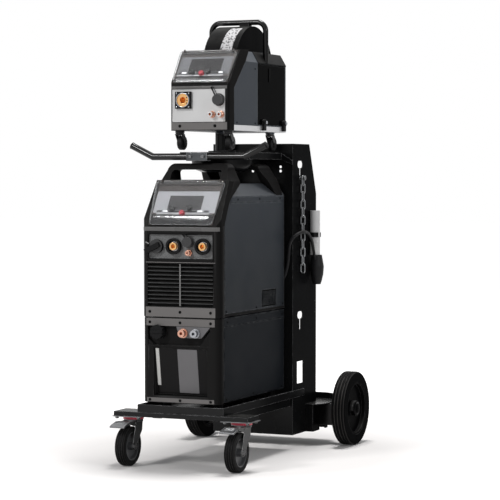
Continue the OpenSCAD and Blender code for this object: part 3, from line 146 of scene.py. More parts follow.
for name, at, size, power in (("key", (-1.9, -4.3, 3.5), 1.0, 120), ("right", (4.0, -1.6, 2.6), 1.0, 46),
                              ("top", (0.2, 0.45, 4.4), 1.3, 185)):
    lamp = placed(name, bpy.data.lights.new(name, "AREA"))
    lamp.data.shape = "DISK"
    lamp.data.size = size
    lamp.data.energy = power
    lamp.location = at
    lamp.rotation_euler = (Vector((0, -0.1, 0.75)) - Vector(at)).to_track_quat("-Z", "Y").to_euler()


# ---- Accessory lead and its connector ----
# A black rubber lead leaves the power source's rear gland, crosses the right flange and goes down into the boot of
# a grey connector that stands in a clip. Extruded rubber, a moulded sleeve at the gland.
def node_group(name, kind, takes, gives):
    """An empty node group with named sockets, and the outputs of its input node."""
    group = bpy.data.node_groups.new(name, kind)
    for way, sockets in (("INPUT", takes), ("OUTPUT", gives)):
        for socket, what in sockets.items():
            group.interface.new_socket(socket, in_out=way, socket_type="NodeSocket" + what)
    return group, put(group, "NodeGroupInput").outputs


def noise(tree, place, scale, detail, roughness=0.5):
    return put(tree, "TexNoise", {"Vector": place, "Scale": scale, "Detail": detail, "Roughness": roughness})


def facing_parts(tree):
    """X, Y and Z of the way a face looks."""
    return put(tree, "SeparateXYZ", {0: put(tree, "NewGeometry").outputs["Normal"]}).outputs


# Fine relief of a surface, and its slow change of tone
grain, takes = node_group("surface_grain", "ShaderNodeTree", {"Vector": "Vector", "Scale": "Float"},
                          {"Height": "Float", "Drift": "Float"})
pits = put(grain, "TexVoronoi", {"Vector": takes["Vector"], "Scale": takes["Scale"]})
relief = maths(grain, "ADD", noise(grain, takes["Vector"], takes["Scale"], 2.0), pits)
put(grain, "NodeGroupOutput", {"Height": relief, "Drift": noise(grain, takes["Vector"], 7.0, 4.0)})

# Pale edges, partly wear and partly painted highlight: where the rounded normal leaves the face's own, broken up by a
# noise
edge_wear_and_highlight, takes = node_group("worn_and_highlit_edges", "ShaderNodeTree", {"Vector": "Vector", "Width": "Float"},
                        {"Mask": "Float", "Rounded": "Vector"})
around = put(edge_wear_and_highlight, "Bevel", {"Radius": takes["Width"]}, samples=6)
flat = put(edge_wear_and_highlight, "NewGeometry").outputs["Normal"]
match = put(edge_wear_and_highlight, "VectorMath", {0: around, 1: flat}, operation="DOT_PRODUCT").outputs["Value"]
broken = ranged(edge_wear_and_highlight, noise(edge_wear_and_highlight, takes["Vector"], 45.0, 5.0), 0.35, 0.62)
mask = maths(edge_wear_and_highlight, "MULTIPLY", ranged(edge_wear_and_highlight, match, 0.985, 0.80), broken)
put(edge_wear_and_highlight, "NodeGroupOutput", {"Mask": mask, "Rounded": around})

# A level for what faces the sides, one for what faces the front or the back, and one for what faces up
facing, takes = node_group("facing_level", "ShaderNodeTree", {"Side": "Float", "Front": "Float", "Top": "Float"},
                           {"Level": "Float"})
way = facing_parts(facing)
across = ranged(facing, maths(facing, "ABSOLUTE", way["X"]), 0.35, 0.95, takes["Front"], takes["Side"])
level = put(facing, "Mix", {0: ranged(facing, way["Z"], 0.3, 0.7), 2: across, 3: takes["Top"]})
put(facing, "NodeGroupOutput", {"Level": level})

# Dust that settles on what faces up
dust, takes = node_group("settled_dust", "ShaderNodeTree", {"Vector": "Vector"}, {"Mask": "Float"})
cloud = ranged(dust, noise(dust, takes["Vector"], 18.0, 8.0, 0.7), 0.3, 0.75)
upward = ranged(dust, facing_parts(dust)["Z"], 0.35, 0.95)
put(dust, "NodeGroupOutput", {"Mask": maths(dust, "MULTIPLY", upward, cloud)})


def blended(tree, factor, *colours):
    """Mix of two colours, each a grey level, a triple or another node's output."""
    first, second = [(c, c, c, 1) if isinstance(c, (int, float)) else (*c, 1) if isinstance(c, tuple) else c
                     for c in colours]
    return put(tree, "Mix", {0: factor, 6: first, 7: second}, data_type="RGBA").outputs[2]


def by_facing(tree, levels):
    """One of three levels, by the way a face looks."""
    return put(tree, "Group", dict(zip(("Side", "Front", "Top"), levels)), node_tree=facing)


def finish(name, colour, rough, grain_scale=900, depth=0.01, drift=0.25, wear_and_highlight_amount=0.1, wear_and_highlight_colour=(0.35, 0.35, 0.36),
           edge=1.2, dusty=0.12, metal=0.0, gloss=0.5, coat=0.0, pattern=None, shade=None):
    """A painted, moulded or metal finish: depth of its grain and width of its pale edges in millimetres. The pale edges
    are partly wear and partly painted highlight. A colour may be a grey level. pattern(tree, place) may give a colour
    in place of the plain one. gloss may be a level for the sides, the front and the top, and shade is painted shade: it
    dims the colour by such levels, as if faces turned one way were less lit."""
    made = bpy.data.materials.new(name)
    made.use_nodes = True
    tree = made.node_tree
    place = put(tree, "TexCoord").outputs["Object"]
    skin = put(tree, "Group", {"Vector": place, "Scale": grain_scale}, node_tree=grain).outputs
    wear_and_highlight = put(tree, "Group", {"Vector": place, "Width": edge / 1000}, node_tree=edge_wear_and_highlight).outputs
    film = maths(tree, "MULTIPLY", put(tree, "Group", {"Vector": place}, node_tree=dust), dusty)
    base = pattern(tree, place) if pattern else colour
    # Painted shade: the colour is dimmed by the way a face looks, darker where it turns to the sides
    if shade:
        base = blended(tree, by_facing(tree, shade), 0, base)
    if pattern or shade:
        deep = put(tree, "HueSaturation", {"Value": 1 - drift, "Color": base})
    else:
        deep = tuple(c * (1 - drift) for c in colour) if isinstance(colour, tuple) else colour * (1 - drift)
    tone = blended(tree, skin["Drift"], deep, base)
    # Pale edges: partly wear, partly painted highlight on edges that catch the light
    tone = blended(tree, maths(tree, "MULTIPLY", wear_and_highlight["Mask"], wear_and_highlight_amount), tone, wear_and_highlight_colour)
    spread = ranged(tree, skin["Drift"], 0.3, 0.7, max(rough - 0.06, 0.03), rough + 0.06)
    bump = {"Strength": 1.0, "Distance": depth / 1000, "Height": skin["Height"], "Normal": wear_and_highlight["Rounded"]}
    feed(tree, tree.nodes["Principled BSDF"], {
        "Base Color": blended(tree, film, tone, (0.32, 0.31, 0.29)), "Metallic": metal,
        "Roughness": maths(tree, "MULTIPLY_ADD", film, 0.5, spread), "Normal": put(tree, "Bump", bump),
        "Specular IOR Level": by_facing(tree, gloss) if isinstance(gloss, tuple) else gloss,
        "Coat Weight": coat, "Coat Roughness": 0.12})
    return made


def bevelled(made, width, segments, degrees, clamp=True):
    """Rounds a piece's long edges."""
    edge = made.modifiers.new("rounding", "BEVEL")
    edge.width = width
    edge.segments = segments
    edge.limit_method = "ANGLE"
    edge.angle_limit = radians(degrees)
    edge.use_clamp_overlap = clamp
    edge.harden_normals = True


def added(piece, mesh, finishes, body="cart", smooth=32, rounding=0.0):
    """A piece of the set from a mesh in metres. rounding is the radius of its long edges. The shading of large flat
    faces stays flat beside them."""
    for one in finishes if isinstance(finishes, (list, tuple)) else [finishes]:
        mesh.materials.append(one)
    for face in mesh.polygons:
        face.use_smooth = True
    mesh.set_sharp_from_angle(angle=radians(smooth))
    made = placed(piece, mesh)
    if rounding:
        bevelled(made, rounding, 2, 40, clamp=False)
    even = made.modifiers.new("even", "WEIGHTED_NORMAL")
    even.keep_sharp = True
    even.weight = 80
    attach(made, body)
    return made


def dressed(node, piece, finish_for, rounding=0.0, smooth=32):
    """A merged copy of a CAD node that stands for it. finish_for is one finish, or a rule that gives each solid of
    the node its finish from its lowest and highest corner in millimetres."""
    bm = bmesh.new()
    bm.from_mesh(cad[node].data)
    bmesh.ops.remove_doubles(bm, verts=bm.verts, dist=2e-6)
    bmesh.ops.dissolve_limit(bm, angle_limit=radians(0.5), verts=bm.verts, edges=bm.edges)
    used, seen = [], set()
    for first in bm.faces:
        solid = [] if first in seen else [first]
        seen.add(first)
        for face in solid:
            for near in (f for e in face.edges for f in e.link_faces if f not in seen):
                seen.add(near)
                solid.append(near)
        if solid:
            corners = [v.co * 1000 for f in solid for v in f.verts]
            low, high = Vector(map(min, zip(*corners))), Vector(map(max, zip(*corners)))
            pick = finish_for if isinstance(finish_for, bpy.types.Material) else finish_for(low, high)
            if pick not in used:
                used.append(pick)
            for face in solid:
                face.material_index = used.index(pick)
    mesh = bpy.data.meshes.new(piece)
    bm.to_mesh(mesh)
    bm.free()
    made = added(piece, mesh, used, cad[node]["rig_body"], smooth, rounding)
    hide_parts(node)
    return made


def outward(bm):
    """The mesh of a bmesh, its faces turned outwards."""
    bmesh.ops.recalc_face_normals(bm, faces=bm.faces)
    mesh = bpy.data.meshes.new("mesh")
    bm.to_mesh(mesh)
    bm.free()
    return mesh


def skinned(rings, closed=False, caps=(0, -1)):
    """A skin over rings of points in millimetres. A ring may be one point. closed joins the last ring to the first."""
    bm = bmesh.new()
    loops = [[bm.verts.new(Vector(p) / 1000) for p in ring] for ring in rings]
    for one, two in zip(loops, loops[1:] + loops[:1] if closed else loops[1:]):
        for i in range(max(len(one), len(two))):
            near, far = [one[i % len(one)], one[(i + 1) % len(one)]], [two[(i + 1) % len(two)], two[i % len(two)]]
            corners = list(dict.fromkeys(near + far))
            if len(corners) > 2:
                bm.faces.new(corners)
    for end in () if closed else caps:
        if len(loops[end]) > 2:
            bm.faces.new(loops[end])
    return outward(bm)


def circle(count):
    """Angles that share a full turn."""
    return [tau * i / count for i in range(count)]


rubber = finish("lead_rubber", (0.012, 0.012, 0.013), 0.5, 1400, 0.02, wear_and_highlight_amount=0.0, dusty=0.08, gloss=0.1)
boot_rubber = finish("boot_rubber", (0.01, 0.01, 0.011), 0.45, 700, 0.04, wear_and_highlight_amount=0.05, edge=2, gloss=0.12)
grey_shell = finish("connector_shell", 0.58, 0.42, 600, 0.03, drift=0.12, wear_and_highlight_amount=0.3, wear_and_highlight_colour=0.25)
connector = dressed("accessory_plug", "lead_connector", lambda low, high: grey_shell if high.z > 700 else boot_rubber)

lead_points = [(82, 141.5, 560), (96, 141.5, 561), (108, 141.5, 567), (119, 141.5, 580), (126, 141.5, 598),
               (131, 141.5, 620), (134, 141.5, 645), (136, 141, 668), (140, 140, 690), (149, 141, 708), (160, 150, 720),
               (168, 165, 727), (173, 185, 729), (175, 209, 724), (175, 231, 711), (174, 251, 692), (172, 267, 669),
               (171, 280, 645), (171, 291, 622)]
path = bpy.data.curves.new("accessory_lead_jacket", "CURVE")
path.dimensions = "3D"
path.bevel_depth = 0.005
path.bevel_resolution = 5
path.resolution_u = 5
path.use_fill_caps = True
line = path.splines.new("BEZIER")
line.bezier_points.add(len(lead_points) - 1)
for knot, at in zip(line.bezier_points, lead_points):
    knot.co = Vector(at) / 1000
    knot.handle_left_type = knot.handle_right_type = "AUTO"
path.materials.append(rubber)
lead = placed("accessory_lead_jacket", path)
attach(lead, "cart")
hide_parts("accessory_lead")

# Tapered sleeve where the lead leaves the gland, with the first of its bend
rings = []
for x, r in ((84.2, 9.5), (87, 9.5), (88, 7.6), (92, 7.2), (96, 6.8), (100, 6.4), (104, 6.0)):
    middle = 560 + max(0.0, x - 90) ** 2 / 38
    rings.append([(x, 141.5 + r * cos(a), middle + r * sin(a)) for a in circle(20)])
sleeve = added("gland_sleeve", skinned(rings), boot_rubber, "cart")

# ---- Cart frame ----
# Folded and welded sheet steel: a tray on two rails, a bumper channel, the column with its flanges, the bottle
# shelf and the axle beam. Gloss black powder coat with pale edges, partly light wear and partly painted highlight;
# the tray, bumper and platform have the strongest painted edge highlight.
cart_coat = finish("cart_powder_coat", (0.006, 0.0062, 0.0065), 0.24, 1100, 0.03, drift=0.3, wear_and_highlight_amount=0.5,
                   wear_and_highlight_colour=(0.3, 0.31, 0.32), edge=2.2, dusty=0.1, gloss=(0.002, 0.17, 0.02))
deck_coat = finish("deck_powder_coat", (0.006, 0.0062, 0.0065), 0.24, 1100, 0.03, drift=0.3, wear_and_highlight_amount=1.0,
                   wear_and_highlight_colour=(0.34, 0.34, 0.35), edge=3, dusty=0.1, gloss=(0.006, 0.15, 0.03))
shelf_coat = finish("shelf_powder_coat", (0.008, 0.0082, 0.0085), 0.24, 1100, 0.03, drift=0.3, wear_and_highlight_amount=0.6,
                    wear_and_highlight_colour=(0.34, 0.34, 0.35), edge=2, dusty=0.1, gloss=(0.01, 0.12, 0.5))
for node, piece, coat in (("tray", "tray_sheet", deck_coat), ("bumper", "bumper_channel", deck_coat),
                          ("column", "bottle_column", cart_coat), ("bottle_shelf", "bottle_shelf_sheet", shelf_coat),
                          ("platform", "feeder_platform", deck_coat)):
    dressed(node, piece, coat, rounding=0.0007)
raw_steel = finish("turned_steel", (0.45, 0.45, 0.46), 0.32, 500, 0.02, dusty=0.15, metal=1.0)
dressed("axle_beam", "axle_beam_and_rod",
        lambda low, high: raw_steel if high.x - low.x > 560 and high.z - low.z < 30 else cart_coat)


# ---- Rear wheels ----
# Solid black rubber tyres with three tread grooves on black moulded rims. They run on the ends of the axle rod, and a
# push-on cap covers each end.
def tyre_pattern(centre, outer, half_width):
    """Black rubber with dust at the bottom of its tread grooves."""
    def pattern(tree, place):
        shift = put(tree, "Mapping", {0: place, 1: [-c for c in centre]})
        flat = put(tree, "VectorMath", {0: shift, 1: (0, 1, 1)}, operation="MULTIPLY")
        radius = put(tree, "VectorMath", {0: flat}, operation="LENGTH").outputs["Value"]
        across = maths(tree, "ABSOLUTE", put(tree, "SeparateXYZ", {0: shift}).outputs["X"])
        tread = ranged(tree, across, half_width * 0.92, half_width * 0.84)
        below = ranged(tree, radius, outer - 0.0010, outer - 0.0022)
        bottom = maths(tree, "MULTIPLY", tread, ranged(tree, radius, outer - 0.012, outer - 0.010))
        return blended(tree, maths(tree, "MULTIPLY", below, bottom), (0.0032, 0.0033, 0.0035), (0.11, 0.105, 0.10))
    return pattern


for side, word in SIDES:
    tyre = finish("rear_tyre_" + word, 0.02, 0.62, 260, 0.06, edge=2, dusty=0.06, gloss=(0.003, 0.06, 0.03),
                  pattern=tyre_pattern((side * 0.276, 0.35, 0.125), 0.125, 0.024))
    rim = finish("rear_rim_" + word, (0.0022, 0.0022, 0.0024), 0.3, 500, 0.02, edge=2, gloss=(0.002, 0.25, 0.25))
    dressed("rear_wheel_" + word, "rear_wheel_%s_set" % word,
            lambda low, high: tyre if high.z - low.z > 200 and high.x - low.x < 50 else rim)


# ---- Front castors ----
# Two 125 mm swivel castors with brakes under the bumper: zinc-plated pressed plates, forks and pedals, a red dust
# seal, grey nylon hubs and black tyres. Four bolts hold each plate to the bumper.
def growing(name, **takes):
    """A Geometry Nodes tree with named inputs, and the outputs of its input node."""
    return node_group(name, "GeometryNodeTree", {"Places": "Geometry", **takes, "Finish": "Material"},
                      {"Geometry": "Geometry"})


def spread_over(tree, takes, one):
    """Ends a tree: one geometry stands at each place, its own Z along the way the place looks."""
    look = put(tree, "InputNamedAttribute", {"Name": "look"}, data_type="FLOAT_VECTOR").outputs["Attribute"]
    turn = put(tree, "FunctionNodeAlignRotationToVector", {"Vector": look}, axis="Z")
    many = put(tree, "InstanceOnPoints", {"Points": takes["Places"], "Instance": one, "Rotation": turn})
    whole = put(tree, "RealizeInstances", {"Geometry": many})
    done = put(tree, "SetMaterial", {"Geometry": whole, "Material": takes["Finish"]})
    put(tree, "NodeGroupOutput", {0: done})


def ended(holder):
    """The mesh an object ends in, its doubles merged. The object itself is taken away."""
    mesh = bpy.data.meshes.new_from_object(holder.evaluated_get(bpy.context.evaluated_depsgraph_get()))
    bpy.data.objects.remove(holder)
    bm = bmesh.new()
    bm.from_mesh(mesh)
    bmesh.ops.remove_doubles(bm, verts=bm.verts, dist=2e-6)
    bmesh.ops.recalc_face_normals(bm, faces=bm.faces)
    bm.to_mesh(mesh)
    bm.free()
    return mesh


def grown(tree, places, look, **values):
    """The mesh a tree makes at some places in millimetres, all looking one way."""
    seed = bpy.data.meshes.new("seed")
    seed.from_pydata([Vector(p) / 1000 for p in places], [], [])
    for way in seed.attributes.new("look", "FLOAT_VECTOR", "POINT").data:
        way.vector = look
    holder = placed("seed", seed)
    maker = holder.modifiers.new("maker", "NODES")
    maker.node_group = tree
    for item in tree.interface.items_tree:
        if item.in_out == "INPUT" and item.name in values:
            maker[item.identifier] = values[item.name]
    return ended(holder)


# Screw or bolt head: a low prism, a dome and a socket
screw_heads, takes = growing("screw_heads", Sides="Int", Radius="Float", Height="Float", Socket="Float")
drum = put(screw_heads, "MeshCylinder",
           {"Vertices": takes["Sides"], "Radius": takes["Radius"], "Depth": takes["Height"]})
third = maths(screw_heads, "MULTIPLY", takes["Height"], 0.35)
head, top = drum.outputs["Mesh"], drum.outputs["Top"]
for rise, shrink in ((third, 0.8), (0.0, takes["Socket"]), (maths(screw_heads, "MULTIPLY", third, -2.2), 0.98)):
    pushed = put(screw_heads, "ExtrudeMesh",
                 {"Mesh": head, "Selection": top, "Offset Scale": rise, "Individual": False})
    head = put(screw_heads, "ScaleElements",
               {"Geometry": pushed.outputs["Mesh"], "Selection": pushed.outputs["Top"], "Scale": shrink})
    top = pushed.outputs["Top"]
spread_over(screw_heads, takes, head)

# Rows of bars, a step apart
bar_rows, takes = growing("bar_rows", Count="Int", Step="Vector", Bar="Vector")
row = put(bar_rows, "MeshLine", {"Count": takes["Count"], "Offset": takes["Step"]})
bar = put(bar_rows, "MeshCube", {"Size": takes["Bar"]})
spread_over(bar_rows, takes, put(bar_rows, "InstanceOnPoints", {"Points": row, "Instance": bar}))

# Ribs round a cap: bar is its depth, its width and its length along the cap
cap_ribs, takes = growing("cap_ribs", Count="Int", Radius="Float", Bar="Vector")
round_it = put(cap_ribs, "MeshCircle", {"Vertices": takes["Count"], "Radius": takes["Radius"]})
bar = put(cap_ribs, "MeshCube", {"Size": takes["Bar"]})
away = put(cap_ribs, "InputPosition")
turn = put(cap_ribs, "FunctionNodeAlignRotationToVector", {"Vector": away}, axis="X")
ribs = {"Points": round_it, "Instance": bar, "Rotation": turn}
spread_over(cap_ribs, takes, put(cap_ribs, "InstanceOnPoints", ribs))


def fasteners(piece, places, look, paint, body, radius, height, socket=0.5, sides=16):
    """Screw heads on one body, as one mesh."""
    heads = grown(screw_heads, places, look, Sides=sides, Radius=radius / 1000, Height=height / 1000, Socket=socket,
                  Finish=paint)
    added(piece, heads, (), body)


def ribbed(piece, at, paint, body, radius, count, bar, look=FORWARD):
    """A ring of ribs round a cap or a knob."""
    ribs = grown(cap_ribs, [at], look, Count=count, Radius=radius / 1000, Bar=Vector(bar) / 1000, Finish=paint)
    added(piece, ribs, (), body)


# The zinc's colour carries painted shade on its side faces.
zinc = finish("zinc_plating", (0.3, 0.305, 0.315), 0.36, 700, 0.02, drift=0.3, wear_and_highlight_amount=0.6, wear_and_highlight_colour=0.8, edge=1.6,
              dusty=0.18, metal=1.0, shade=(0.1, 0.55, 0.8))
red_seal = finish("red_dust_seal", (0.6, 0.012, 0.05), 0.42, drift=0.15, dusty=0.1)
nylon = finish("castor_hub_nylon", (0.06, 0.062, 0.066), 0.36, 500, 0.02, drift=0.2, wear_and_highlight_amount=0.3,
               wear_and_highlight_colour=(0.45, 0.45, 0.46))
dressed("castor_mounts", "castor_plates", zinc, rounding=0.0005)
bolts = [(s * 188.5 + x, y, 152.6) for s in (-1, 1) for x in (-38, 38) for y in (-401, -339)]
fasteners("castor_bolts", bolts, (0, 0, -1), zinc, "cart", 6.6, 4.6, socket=0.35, sides=6)
for side, word in SIDES:
    dressed("castor_fork_" + word, "castor_fork_%s_pressing" % word,
            lambda low, high: red_seal if low.z > 145.65 else zinc)
    tyre = finish("castor_tyre_" + word, 0.02, 0.6, 320, 0.05, wear_and_highlight_amount=0.15, edge=1.5, dusty=0.1, gloss=0.08,
                  pattern=tyre_pattern((side * 0.1885, -0.399, 0.0625), 0.0625, 0.017))
    dressed("castor_wheel_" + word, "castor_wheel_%s_set" % word,
            lambda low, high: tyre if high.z - low.z > 100 else nylon)
    dressed("brake_pedal_" + word, "brake_pedal_%s_pressing" % word, zinc, rounding=0.0005)
    grip = grown(bar_rows, [(side * 188.5, -459.5, 138.0)], UP, Count=4, Step=(0, 0.0052, 0.0011),
                 Bar=(0.030, 0.0018, 0.0014), Finish=zinc)
    added("pedal_grip_" + word, grip, (), "brake_pedal_" + word)

# ---- Push bar ----
# A bent steel tube in gloss black with moulded plugs in its ends, held to the platform by a dark saddle clamp with
# two screws.
tube_coat = finish("tube_gloss_black", (0.004, 0.004, 0.0042), 0.13, 1300, 0.02, wear_and_highlight_amount=0.15,
                   wear_and_highlight_colour=(0.3, 0.3, 0.31), dusty=0.08, gloss=(0.06, 0.26, 0.2))
clamp_steel = finish("clamp_dark_steel", (0.1, 0.105, 0.11), 0.3, 500, 0.05, drift=0.6, wear_and_highlight_amount=0.9, wear_and_highlight_colour=0.65,
                     edge=2.5, dusty=0.1, metal=1.0)
bright = finish("bright_steel", (0.34, 0.35, 0.37), 0.26, wear_and_highlight_amount=0.2, wear_and_highlight_colour=0.7, dusty=0.1, metal=1.0)
dressed("push_bar", "push_bar_tube_and_clamp",
        lambda low, high: clamp_steel if high.x - low.x < 100 else tube_coat, smooth=40)


def turned(points, at, axis=FORWARD, count=32):
    """A turned shape: points are (radius, along) in millimetres, from one end to the other or round to the first."""
    turn = Vector(UP).rotation_difference(Vector(axis)).to_matrix()
    closed = points[0] == points[-1]
    rings = [[turn @ Vector((r * cos(a), r * sin(a), along)) + Vector(at)
              for a in (circle(count) if r else [0])] for r, along in (points[:-1] if closed else points)]
    return skinned(rings, closed)


plug = finish("moulded_black_plug", (0.009, 0.009, 0.0095), 0.5, 700, 0.03, wear_and_highlight_amount=0.15, edge=1.0,
              gloss=(0.03, 0.08, 0.08))
for side, word in SIDES:
    lean = Vector((side * 75, 0, 36)).normalized()
    tip = Vector((side * 235, -276, 1013)) - lean * 1.2
    profile = [(0, 0), (11.35, 0), (11.6, 0.6), (11.3, 2.0), (9.5, 3.2), (4.5, 3.6), (0, 3.7)]
    added("bar_plug_" + word, turned(profile, tip, lean), plug, "cart")
fasteners("clamp_screws", [(-22, -291.2, 977), (22, -291.2, 977)], FORWARD, zinc, "cart", 5, 2.4, socket=0.55)

# ---- Bottle chain ----
# Bright welded steel chain with a pin at its head. The pin goes through the column's upper keyhole, and the short
# length hangs from it.
# The chain's colour carries painted shade on its side faces.
chain_steel = finish("chain_steel", (0.34, 0.35, 0.36), 0.3, 600, 0.02, drift=0.35, wear_and_highlight_amount=0.2, wear_and_highlight_colour=0.7,
                     edge=1.0, dusty=0.15, metal=1.0, shade=(0.25, 0.9, 0.8))
dressed("chain", "bottle_chain", chain_steel, smooth=45)


# ---- Cooler ----
# A folded sheet case in satin blue-grey with a black moulded front that has a filler cap, two couplings and a leaning
# window. Screws hold the sheets; tank, pump and radiator are inside.
def painted_shade_low_down(tree, place):
    """The sheets' blue-grey with painted shade: darker towards the floor."""
    height = put(tree, "SeparateXYZ", {0: place}).outputs["Z"]
    return blended(tree, ranged(tree, height, 0.50, 1.10), (0.0100, 0.0125, 0.0158), (0.050, 0.057, 0.067))


# Painted shade: the sheets' colour darkens towards the floor.
panel_grey = finish("panel_blue_grey", (0.028, 0.035, 0.043), 0.42, 1500, 0.04, drift=0.12, wear_and_highlight_amount=0.8,
                    wear_and_highlight_colour=(0.2, 0.21, 0.22), edge=4, dusty=0.06, gloss=(0.03, 0.2, 0.3), pattern=painted_shade_low_down)
# A darker copy of the sheets' blue-grey for the cooler and the vent slots: painted shade, as at the foot of the
# source's sheets.
cooler_shaded_grey = finish("cooler_blue_grey_painted_shade", (0.0075, 0.009, 0.0112), 0.42, 1500, 0.04, drift=0.12, wear_and_highlight_amount=0.8,
                     wear_and_highlight_colour=(0.13, 0.135, 0.14), edge=4, dusty=0.06, gloss=(0.012, 0.1, 0.1))
moulding = finish("grained_black_moulding", (0.0095, 0.0092, 0.0092), 0.36, 520, 0.06, drift=0.2, wear_and_highlight_amount=0.45,
                  wear_and_highlight_colour=0.12, edge=3, dusty=0.08, gloss=(0.004, 0.05, 0.05))
band_grey = finish("moulded_band_grey", (0.155, 0.148, 0.145), 0.5, 520, 0.06, drift=0.18, wear_and_highlight_amount=0.2, wear_and_highlight_colour=0.16,
                   edge=1.0, dusty=0.08, gloss=0.2)
dark_screw = finish("black_oxide_screw", 0.003, 0.4, wear_and_highlight_amount=0.15, wear_and_highlight_colour=0.2, edge=0.6, gloss=(0.003, 0.06, 0.06))
plate_grey = finish("bare_plate_grey", (0.155, 0.152, 0.157), 0.4, 1200, 0.02, drift=0.1, wear_and_highlight_amount=0.2, wear_and_highlight_colour=0.3,
                    edge=0.8, dusty=0.05, gloss=0.1)
smoked = finish("smoked_window", (0.011, 0.0105, 0.0108), 0.24, drift=0.2, gloss=0.05)
white_strip = finish("level_strip_white", (0.55, 0.55, 0.53), 0.4, 300, drift=0.18, dusty=0.05)
copper = finish("copper_coupling", (0.56, 0.31, 0.23), 0.27, drift=0.2, wear_and_highlight_amount=0.3, wear_and_highlight_colour=(0.9, 0.72, 0.6),
                edge=0.8, dusty=0.05, metal=1.0)
inside_sheet = finish("inside_steel", (0.1, 0.105, 0.11), 0.45, 600, 0.02, wear_and_highlight_amount=0.2, dusty=0.35, metal=0.6)
tank_white = finish("tank_polythene", (0.62, 0.62, 0.58), 0.5, 300, 0.03, drift=0.1, wear_and_highlight_amount=0.05)
cast_grey = finish("cast_grey", (0.09, 0.095, 0.1), 0.55, 400, 0.08, wear_and_highlight_amount=0.25, dusty=0.25)

FRONT = Matrix(((1, 0, 0), (0, 0, -1), (0, 1, 0)))
WALLS = {side: Matrix(((0, 0, side), (side, 0, 0), (0, 1, 0))) for side, word in SIDES}


def softened(corners, r, steps=5):
    """A closed outline with its corners rounded. r is one radius or one for each corner."""
    out = []
    for i, at in enumerate(corners):
        at = Vector(at)
        before, after = Vector(corners[i - 1]) - at, Vector(corners[(i + 1) % len(corners)]) - at
        radius = r[i] if isinstance(r, (list, tuple)) else r
        half = before.angle(after) / 2
        if radius <= 0 or half > 1.56:
            out.append(at)
            continue
        cut = min(radius / tan(half), before.length * 0.49, after.length * 0.49)
        start, end = at + before.normalized() * cut, at + after.normalized() * cut
        middle = at + (before.normalized() + after.normalized()).normalized() * (cut / cos(half))
        sweep = (start - middle).angle_signed(end - middle)
        out += [middle + Matrix.Rotation(-sweep * k / steps, 2) @ (start - middle) for k in range(steps + 1)]
    return out


def oblong(x0, y0, x1, y1, r=3.0):
    return softened([(x0, y0), (x1, y0), (x1, y1), (x0, y1)], r)


def looped(curve, points):
    """Adds a closed line through points in millimetres."""
    line = curve.splines.new("POLY")
    line.points.add(len(points) - 1)
    for knot, p in zip(line.points, points):
        knot.co = (*Vector(p).to_3d() / 1000, 1)
    line.use_cyclic_u = True


def plate(outlines, thick, at, turn=FRONT, rim=0.15):
    """A flat plate with rounded rims from its outline and holes in millimetres. Its back lies at the place given, a
    point or, for a plate that faces the front, its y."""
    flat = bpy.data.curves.new("plate", "CURVE")
    flat.dimensions = "2D"
    flat.fill_mode = "BOTH"
    flat.extrude = max(thick / 2 - rim, 0.001) / 1000
    flat.bevel_depth = rim / 1000
    flat.offset = -rim / 1000
    flat.bevel_resolution = 1
    for outline in outlines:
        looped(flat, outline)
    mesh = ended(placed("plate", flat))
    middle = Vector((0, at, 0) if isinstance(at, (int, float)) else at) + turn @ Vector((0, 0, thick / 2))
    mesh.transform(Matrix.Translation(middle / 1000) @ turn.to_4x4())
    return mesh


def side_plate(piece, side, x, outlines, thick, paint, rim=0.15):
    """A plate on a side wall of the case, from outlines in (y, z)."""
    mirrored = [[(side * y, z) for y, z in outline] for outline in outlines]
    added(piece, plate(mirrored, thick, (side * x, 0, 0), WALLS[side], rim), paint, "cart")


def side_screws(piece, side, x, spots):
    fasteners(piece, [(side * x, y, z) for y, z in spots], (side, 0, 0), dark_screw, "cart", 3.4, 1.0)


def wrapped_band(piece, face, z0, z1, reach, proud, paint, body="cart", rounding=0.0004):
    """A moulded band that follows a face and the start of its two round corners, as far as reach to each side. face
    is its half width, its y and the radius of its corners."""
    half, front, corner = face
    turn = asin((reach - half + corner) / corner)
    rings = []
    for side, i in [(-1, i) for i in range(6, -1, -1)] + [(1, i) for i in range(7)]:
        a = turn * i / 6
        x, y = side * (half - corner + corner * sin(a)), front + corner * (1 - cos(a))
        out = Vector((side * sin(a), -cos(a), 0))
        rings.append([Vector((x, y, z)) + out * off for z, off in ((z0, -0.4), (z0, proud), (z1, proud), (z1, -0.4))])
    bevelled(added(piece, skinned(rings), paint, body), rounding, 3, 50)


def cooler_inside(low, high):
    return tank_white if high.z - low.z > 200 and high.y < -170 else inside_sheet if low.y > 50 else cast_grey


dressed("cooler_panels", "cooler_case_sheet", cooler_shaded_grey)
dressed("cooler_front", "cooler_front_moulding", moulding)
dressed("cooler_chassis", "cooler_base_and_feet",
        lambda low, high: plug if high.z < 210 and low.z < 180 else inside_sheet)
dressed("cooling_pack", "tank_pump_and_radiator", cooler_inside)
dressed("filler_cap", "filler_cap_moulding", plug)
dressed("coolant_fittings", "couplings_and_level_strip",
        lambda low, high: white_strip if low.x < -70 else copper if high.x < 34 else bright)
for side, word in SIDES:
    side_plate("cooler_side_lower_" + word, side, 121, [oblong(-344, 209.5, 131, 444, 2)], 0.8, cooler_shaded_grey)
    side_plate("cooler_side_upper_" + word, side, 121, [oblong(-344, 446, 131, 470, 2)], 0.8, cooler_shaded_grey)
    side_screws("cooler_side_screws_" + word, side, 122.1, ((-320, 458), (-95, 458), (115, 458), (-330, 217),
                                                            (-120, 217), (112, 217)))
cooler_face = (133, -409, 24)
wrapped_band("cooler_top_band", cooler_face, 448, 471.6, 118, 0.9, band_grey)
wrapped_band("cooler_bottom_band", cooler_face, 209, 222, 116, 0.9, band_grey)
